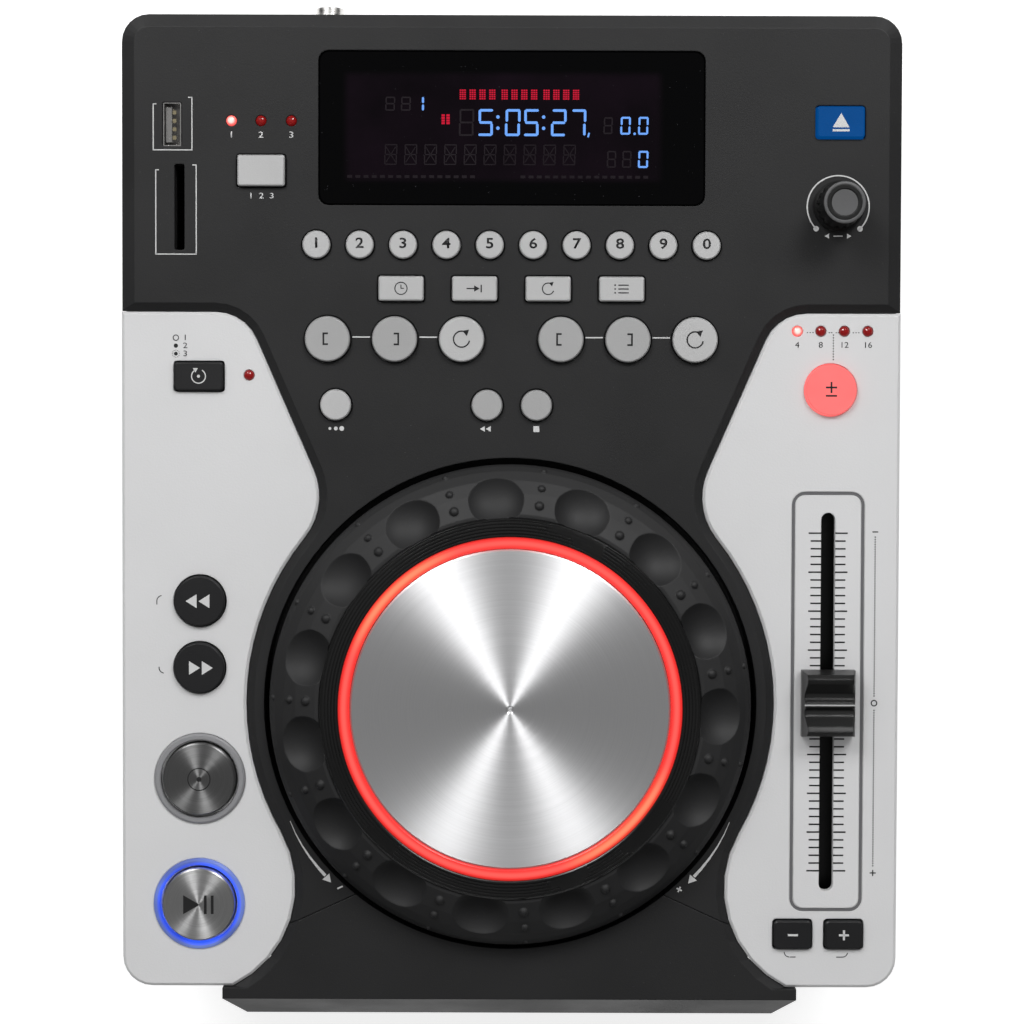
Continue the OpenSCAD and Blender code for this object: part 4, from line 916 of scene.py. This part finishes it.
def eject(x, y):
    arrow_head(x, y - 0.2, 2.75, 0, 0.98)
    bar(x, y - 2.4, 4.8, 0.62)


def cue_mark(x, y):
    arc(x, y, 3.2, 0.32, n=40)
    disc(x, y, 0.7, 20)


def play_mark(x, y):
    arrow_head(x - 2.8, y, 3.2, -90)
    for right in (2.0, 4.0):
        bar(x + right, y, 0.8, 5.4)


class PLAYER_OT_print_keys(bpy.types.Operator):
    """Prints the numbers and signs on the keys; each print rides with its key"""

    bl_idname = "player.print_keys"
    bl_label = "Print the keys"

    def execute(self, context):
        dark = dark_ink()
        pale = pale_ink()
        for i in range(10):
            node = f"number_key_{i}"
            x, y, z = spot(node)
            o = number(str(i), x, y + 0.35, 4.1, 1.2, 0.07)
            o.name = f"key_digit_{i}"
            lay(o, z, node, dark)
        sign("time_key", dark, clock)
        sign("single_key", dark, to_end)
        sign("repeat_key", dark, lambda x, y: round_arrow(x, y, 1.65, 0.3, 0.95, 1.45, 0.8))
        sign("program_key", dark, listing)
        for side in ("a", "b"):
            sign(f"loop_{side}_in_key", dark, lambda x, y: bracket(x, y, -1))
            sign(f"loop_{side}_out_key", dark, lambda x, y: bracket(x, y, 1))
            sign(f"loop_{side}_again_key", dark,
                 lambda x, y: round_arrow(x, y, 2.3, 0.4, 1.3, 2.0, 1.15))
        sign("jog_mode_key", pale, wheel)
        sign("search_back_key", pale, lambda x, y: chevrons(x, y, -1))
        sign("search_forward_key", pale, lambda x, y: chevrons(x, y, 1))
        sign("pitch_minus_key", pale, minus)
        sign("pitch_plus_key", pale, plus)
        sign("pitch_range_key", dark, plus_minus)
        sign("eject_key", pale, eject)
        engraved = bare_metal("engraved_line", (0.045, 0.045, 0.046), 0.4, 2000, 0.1, 0.4, 0.00001,
                              edge=0, metal=0.8)
        sign("cue_key", engraved, cue_mark, 0.03)
        sign("play_key", engraved, play_mark, 0.03)
        return {"FINISHED"}


# ---------------------------------------------------------------- display
DIGIT_PARTS = {
    "0": "abcdef", "1": "bc", "2": "abged", "3": "abgcd", "4": "fgbc", "5": "afgcd",
    "6": "afgedc", "7": "abc", "8": "abcdefg", "9": "abcdfg"}


class PLAYER_OT_light_display(bpy.types.Operator):
    """Draws the lit and the unlit segments of the display"""

    bl_idname = "player.light_display"
    bl_label = "Light the display"

    def execute(self, context):
        light = settings("player_lights")
        z = spot("display_window")[2]
        blue = lit("display_blue", light.digit_blue, 0.85)
        red = lit("display_red", light.digit_red, 1.0)
        faint = moulded("display_unlit", (0.013, 0.0095, 0.0125), 0.3, 0.15, 2600, 0.000004, 0.2, edge=0)

        o = open_sheet("display_time")
        for x, d in ((-7.5, "5"), (0.25, "0"), (5.6, "5"), (13.45, "2"), (19.1, "7")):
            self.digit(x, 111.7, 4.3, 7.7, d)
        for x in (-4.0, 9.1):
            for dy in (1.6, -1.6):
                disc(x, 111.7 + dy, 0.5, 12)
        bar(22.0, 108.2, 0.5, 1.3, -15)
        for x in (32.6, 37.7):
            self.digit(x, 110.9, 2.9, 5.1, "0", 0.55)
        disc(35.2, 108.6, 0.38, 10)
        self.digit(37.7, 101.3, 2.9, 4.9, "0", 0.55)
        for dy in (1.05, -1.05):
            bar(-25.5, 117.0 + dy, 0.62, 1.75, 0, 0.25)
        lay(o, z, "housing", blue, 0.03, 0.005)

        o = open_sheet("display_level")
        for start in (-14.1, -2.1, 9.9):
            for k in range(4):
                x = start + 2.82 * k
                for row in range(5):
                    for col in (-1, 0, 1):
                        bar(x + 0.64 * col, 119.7 + 0.6 * (row - 2), 0.5, 0.42)
        for x in (-19.7, -18.3):
            for row in range(4):
                bar(x, 112.6 + 0.74 * (row - 1.5), 0.95, 0.6)
        lay(o, z, "housing", red, 0.03, 0.005)

        o = open_sheet("display_dark_segments")
        self.digit(-13.0, 111.7, 4.2, 7.7, "8", 0.5)
        for x in (-34.9, -30.4):
            self.digit(x, 117.0, 2.8, 4.0, "8", 0.4)
        self.digit(27.6, 110.9, 2.6, 4.8, "8", 0.4)
        for x in (28.6, 33.0):
            self.digit(x, 101.3, 2.6, 4.8, "8", 0.4)
        for k in range(10):
            x = -34.7 + 5.69 * k
            self.digit(x, 102.5, 3.6, 5.9, "8", 0.32)
            for a in (32, -32):
                bar(x, 102.5, 0.26, 5.2, a)
        for start in (-46.5, 3.2):
            for k in range(16):
                bar(start + 2.35 * k, 96.2, 1.4, 0.8)
        lay(o, z, "housing", faint, 0.02, 0.005)
        return {"FINISHED"}

    def digit(self, x, y, w, h, which, thick=0.72):
        """One seven-segment figure with mitred ends, slightly slanted."""
        slant, gap = 0.05, 0.12
        wide = w - thick * 0.6
        tall = h / 2 - thick * 0.5 - gap
        side, top, middle = (w - thick) / 2, (h - thick) / 2, h / 4
        places = {
            "a": (0, top, wide, thick), "g": (0, 0, wide - 0.2, thick), "d": (0, -top, wide, thick),
            "f": (-side, middle, thick, tall), "b": (side, middle, thick, tall),
            "e": (-side, -middle, thick, tall), "c": (side, -middle, thick, tall)}
        for part in DIGIT_PARTS[which]:
            px, py, pw, pl = places[part]
            bar(x + px + py * slant, y + py, pw, pl, 0, thick * 0.36)


# ---------------------------------------------------------------- extra pieces
class PLAYER_OT_add_trims(bpy.types.Operator):
    """Models the knob's cap, the fader's line, the socket inserts and the sled's lens"""

    bl_idname = "player.add_trims"
    bl_label = "Add the trims"

    def execute(self, context):
        self.knob_cap()
        self.fader_line()
        self.socket_inserts()
        self.usb_contacts()
        self.lens()
        return {"FINISHED"}

    def usb_contacts(self):
        """Four sprung contacts beside the tongue of the USB socket."""
        x, y, _z = spot("usb_socket")
        o = open_sheet("usb_contacts")
        for dy in (-3.6, -1.2, 1.2, 3.6):
            bar(x + 0.45, y + dy, 1.1, 1.15, 0, 0.2)
        gold = bare_metal("contact_gold", (0.60, 0.52, 0.34), 0.3, 900, 0.1, edge=0)
        lay(o, -2.3, "housing", gold, 0.35)

    def knob_cap(self):
        """Cap with a raised rim and a dished face on top of the select knob."""
        x, y, z = spot("select_knob")
        o = turned("knob_cap", x, y, z, (
            (5.75, -1.9), (5.95, -0.5), (5.85, -0.1), (5.55, 0.04), (5.15, 0.04), (4.95, -0.12),
            (2.4, -0.2)))
        face = moulded("knob_face", (0.085, 0.085, 0.087), 0.5, 0.3, 800, 0.00003, 0.3)
        seat(o, DECK, "select_knob", face)

    def fader_line(self):
        """Pale inlaid line across the middle of the fader cap."""
        x, _y, z = spot("fader_cap")
        o = open_sheet("fader_line")
        bar(x, FADER_Y - 0.05, 14.6, 0.42)
        pale = moulded("fader_inlay", (0.42, 0.42, 0.42), 0.4, 0.35, 2600, 0.00001, 0.1, edge=0)
        lay(o, z - 2.4, "fader", pale, 0.08)

    def socket_inserts(self):
        """White and red insulating collars in the ends of the two phono barrels."""
        outer, bore, deep = 3.4, 1.9, 1.1
        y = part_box("rear_sockets")[1].y + 0.00004
        for m in frame["record"]["mounts"]:
            if not m["name"].startswith("phono"):
                continue
            settle()
            ring_of(0, 0, outer, 48, "NOTHING")
            o = bpy.context.active_object
            o.name = m["name"] + "_insert"
            edit_all()
            for widen, rise in ((bore / outer, 0), (1, -deep), (outer / bore, 0), (1, deep)):
                bpy.ops.mesh.extrude_edges_move()
                stretch(0, 0, widen)
                bpy.ops.transform.translate(value=(0, 0, rise))
            bpy.ops.mesh.select_all(action="SELECT")
            bpy.ops.mesh.remove_doubles(threshold=0.001)
            close_mesh()
            place = Matrix.Translation((m["pos_m"][0], y, m["pos_m"][2]))
            o.matrix_world = place @ Matrix.Rotation(-math.pi / 2, 4, "X") @ Matrix.Scale(MM, 4)
            bpy.ops.object.transform_apply()
            modify(o, "BEVEL", width=0.0002, segments=2, limit_method="ANGLE")
            shade(35)
            c = (0.75, 0.75, 0.73) if m["name"].endswith("left") else (0.55, 0.02, 0.02)
            collar = moulded(m["name"] + "_collar", c, 0.35, 0.4, 900, 0.00002, 0.05, edge=0)
            o.data.materials.append(collar)
            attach(o, "housing")

    def lens(self):
        """Dark domed lens of the laser sled."""
        low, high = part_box("laser_sled")
        centre = (0.0, low.y + 0.010, high.z - 0.0006)
        settle()
        bpy.ops.mesh.primitive_uv_sphere_add(segments=32, ring_count=16, radius=0.0025, location=centre)
        o = bpy.context.active_object
        o.name = "sled_lens"
        bpy.ops.object.transform_apply()
        edit_all()
        bpy.ops.transform.resize(value=(1, 1, 0.24), center_override=centre)
        bpy.ops.object.mode_set(mode="OBJECT")
        shade(60)
        material, shader, place = blank("lens_glass")
        tint = noise(place, 500.0)
        wire(shader, {
            "Base Color": blend(tint, (0.02, 0.015, 0.05, 1), (0.03, 0.02, 0.07, 1)),
            "Roughness": 0.05})
        bump(shader, tint, 0.000004)
        o.data.materials.append(material)
        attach(o, "sled")


# ---------------------------------------------------------------- studio
class PLAYER_OT_build_studio(bpy.types.Operator):
    """Adds the floor, the soft boxes, the surrounding light and the camera"""

    bl_idname = "player.build_studio"
    bl_label = "Build the studio"

    def execute(self, context):
        s = settings("player_studio")
        scene = context.scene
        settle()
        bpy.ops.mesh.primitive_plane_add(size=1, location=(0, 0, -0.0002), scale=(6, 6, 1))
        floor = context.active_object
        floor.name = "floor"
        bpy.ops.object.transform_apply()
        floor.data.materials.append(self.floor_paint(s.floor))
        self.world(scene, s)
        for name, azimuth, elevation, power, size, shine_only in (
                ("soft_box_rear_left", 128, 50, s.key_light, 0.55, False),
                ("soft_box_rear_right", 55, 50, s.key_light, 0.55, False),
                ("strip_rear_left", 125, 44, s.metal_light, 0.34, True),
                ("strip_rear_right", 57, 44, s.metal_light, 0.34, True)):
            self.lamp(name, azimuth, elevation, power, size, shine_only)
        self.camera(scene, s)
        scene.view_settings.view_transform = "Standard"
        return {"FINISHED"}

    def floor_paint(self, c):
        """Matt grey that the camera, metal and glass see as white."""
        material, shader, place = blank("studio_floor")
        path = add_node(shader, "LightPath").outputs
        seen = maths("MAXIMUM", path["Is Camera Ray"], path["Is Glossy Ray"])
        seen = maths("MAXIMUM", seen, path["Is Transmission Ray"])
        fine = noise(place, 40.0)
        wire(shader, {
            "Base Color": blend(fine, shade_of(c, 0.99), shade_of(c)),
            "Roughness": 0.9, "Specular IOR Level": 0.1,
            "Emission Color": (1, 1, 1, 1), "Emission Strength": maths("MULTIPLY", seen, 0.7)})
        return material

    def world(self, scene, s):
        """White to the camera, dimmer in reflections, and plain for all other light."""
        scene.world = bpy.data.worlds.new("studio_air")
        scene.world.use_nodes = True
        tree = scene.world.node_tree
        tree.nodes.clear()
        path = add_node(tree, "LightPath").outputs
        height = split(add_node(tree, "TexCoord").outputs["Generated"])[2]
        sheen = ramp(height, 0.35, 0.9, s.sheen * 0.25, s.sheen)
        soft = maths("SUBTRACT", sheen, s.ambient)
        soft = maths("MULTIPLY_ADD", soft, path["Is Glossy Ray"], s.ambient)
        seen = maths("SUBTRACT", 1.0, soft)
        strength = maths("MULTIPLY_ADD", seen, path["Is Camera Ray"], soft)
        back = add_node(tree, "Background", {"Color": (1, 1, 1, 1), "Strength": strength})
        add_node(tree, "OutputWorld", {"Surface": back.outputs[0]})

    def lamp(self, name, azimuth, elevation, power, size, shine_only):
        """A square lamp that lights either reflections or all the rest, 1.25 m from the deck."""
        a, e = math.radians(azimuth), math.radians(elevation)
        away = Vector((math.cos(a) * math.cos(e), math.sin(a) * math.cos(e), math.sin(e)))
        bpy.ops.object.light_add(type="AREA", location=Vector((0, 0, 0.08)) + away * 1.25)
        o = bpy.context.active_object
        o.name = name
        o.data.shape = "SQUARE"
        o.data.size = size
        o.data.energy = power
        o.visible_diffuse = not shine_only
        o.visible_glossy = shine_only
        o.rotation_euler = away.to_track_quat("Z", "Y").to_euler()

    def camera(self, scene, s):
        """The photograph's view, from nearly straight above."""
        back = Vector((0, -math.sin(s.tilt), math.cos(s.tilt)))
        up = Vector((0, math.cos(s.tilt), math.sin(s.tilt)))
        right = Vector((1, 0, 0))
        c, n = math.cos(s.roll), math.sin(s.roll)
        axes = Matrix((right * c + up * n, up * c - right * n, back)).transposed()
        place = deck_point(s.shift_x / MM, 0.0) + back * s.distance
        bpy.ops.object.camera_add()
        scene.camera = bpy.context.active_object
        scene.camera.name = "photo_camera"
        scene.camera.matrix_world = Matrix.Translation(place) @ axes.to_4x4()
        lens = scene.camera.data
        lens.sensor_width = 36.0
        lens.lens = s.lens
        lens.clip_start = 0.02
        lens.clip_end = 20.0


STEPS = (
    PLAYER_OT_dress_housing, PLAYER_OT_dress_keys, PLAYER_OT_dress_jog, PLAYER_OT_dress_inside,
    PLAYER_OT_print_deck, PLAYER_OT_print_cheeks, PLAYER_OT_print_keys, PLAYER_OT_light_display,
    PLAYER_OT_add_trims, PLAYER_OT_build_studio)


class PLAYER_PT_panel(bpy.types.Panel):
    """Lists the player's settings and steps"""

    bl_label = "Tabletop disc player"
    bl_idname = "PLAYER_PT_panel"
    bl_space_type = "VIEW_3D"
    bl_region_type = "UI"
    bl_category = "Player"

    def draw(self, context):
        for name, group in GROUPS.items():
            box = self.layout.box()
            for setting in group.__annotations__:
                box.prop(getattr(context.scene, name), setting)
        for step in STEPS:
            self.layout.operator(step.bl_idname)


GROUPS = {
    "player_finishes": PlayerFinishes, "player_lights": PlayerLights, "player_studio": PlayerStudio}
CLASSES = (*GROUPS.values(), *STEPS, PLAYER_PT_panel)


def register():
    for each in CLASSES:
        bpy.utils.register_class(each)
    for name, group in GROUPS.items():
        setattr(bpy.types.Scene, name, bpy.props.PointerProperty(type=group))


def unregister():
    for name in GROUPS:
        delattr(bpy.types.Scene, name)
    for each in reversed(CLASSES):
        bpy.utils.unregister_class(each)


def main():
    register()
    for step in STEPS:
        getattr(bpy.ops.player, step.bl_idname.removeprefix("player."))()
    settle()


if __name__ == "__main__":
    main()
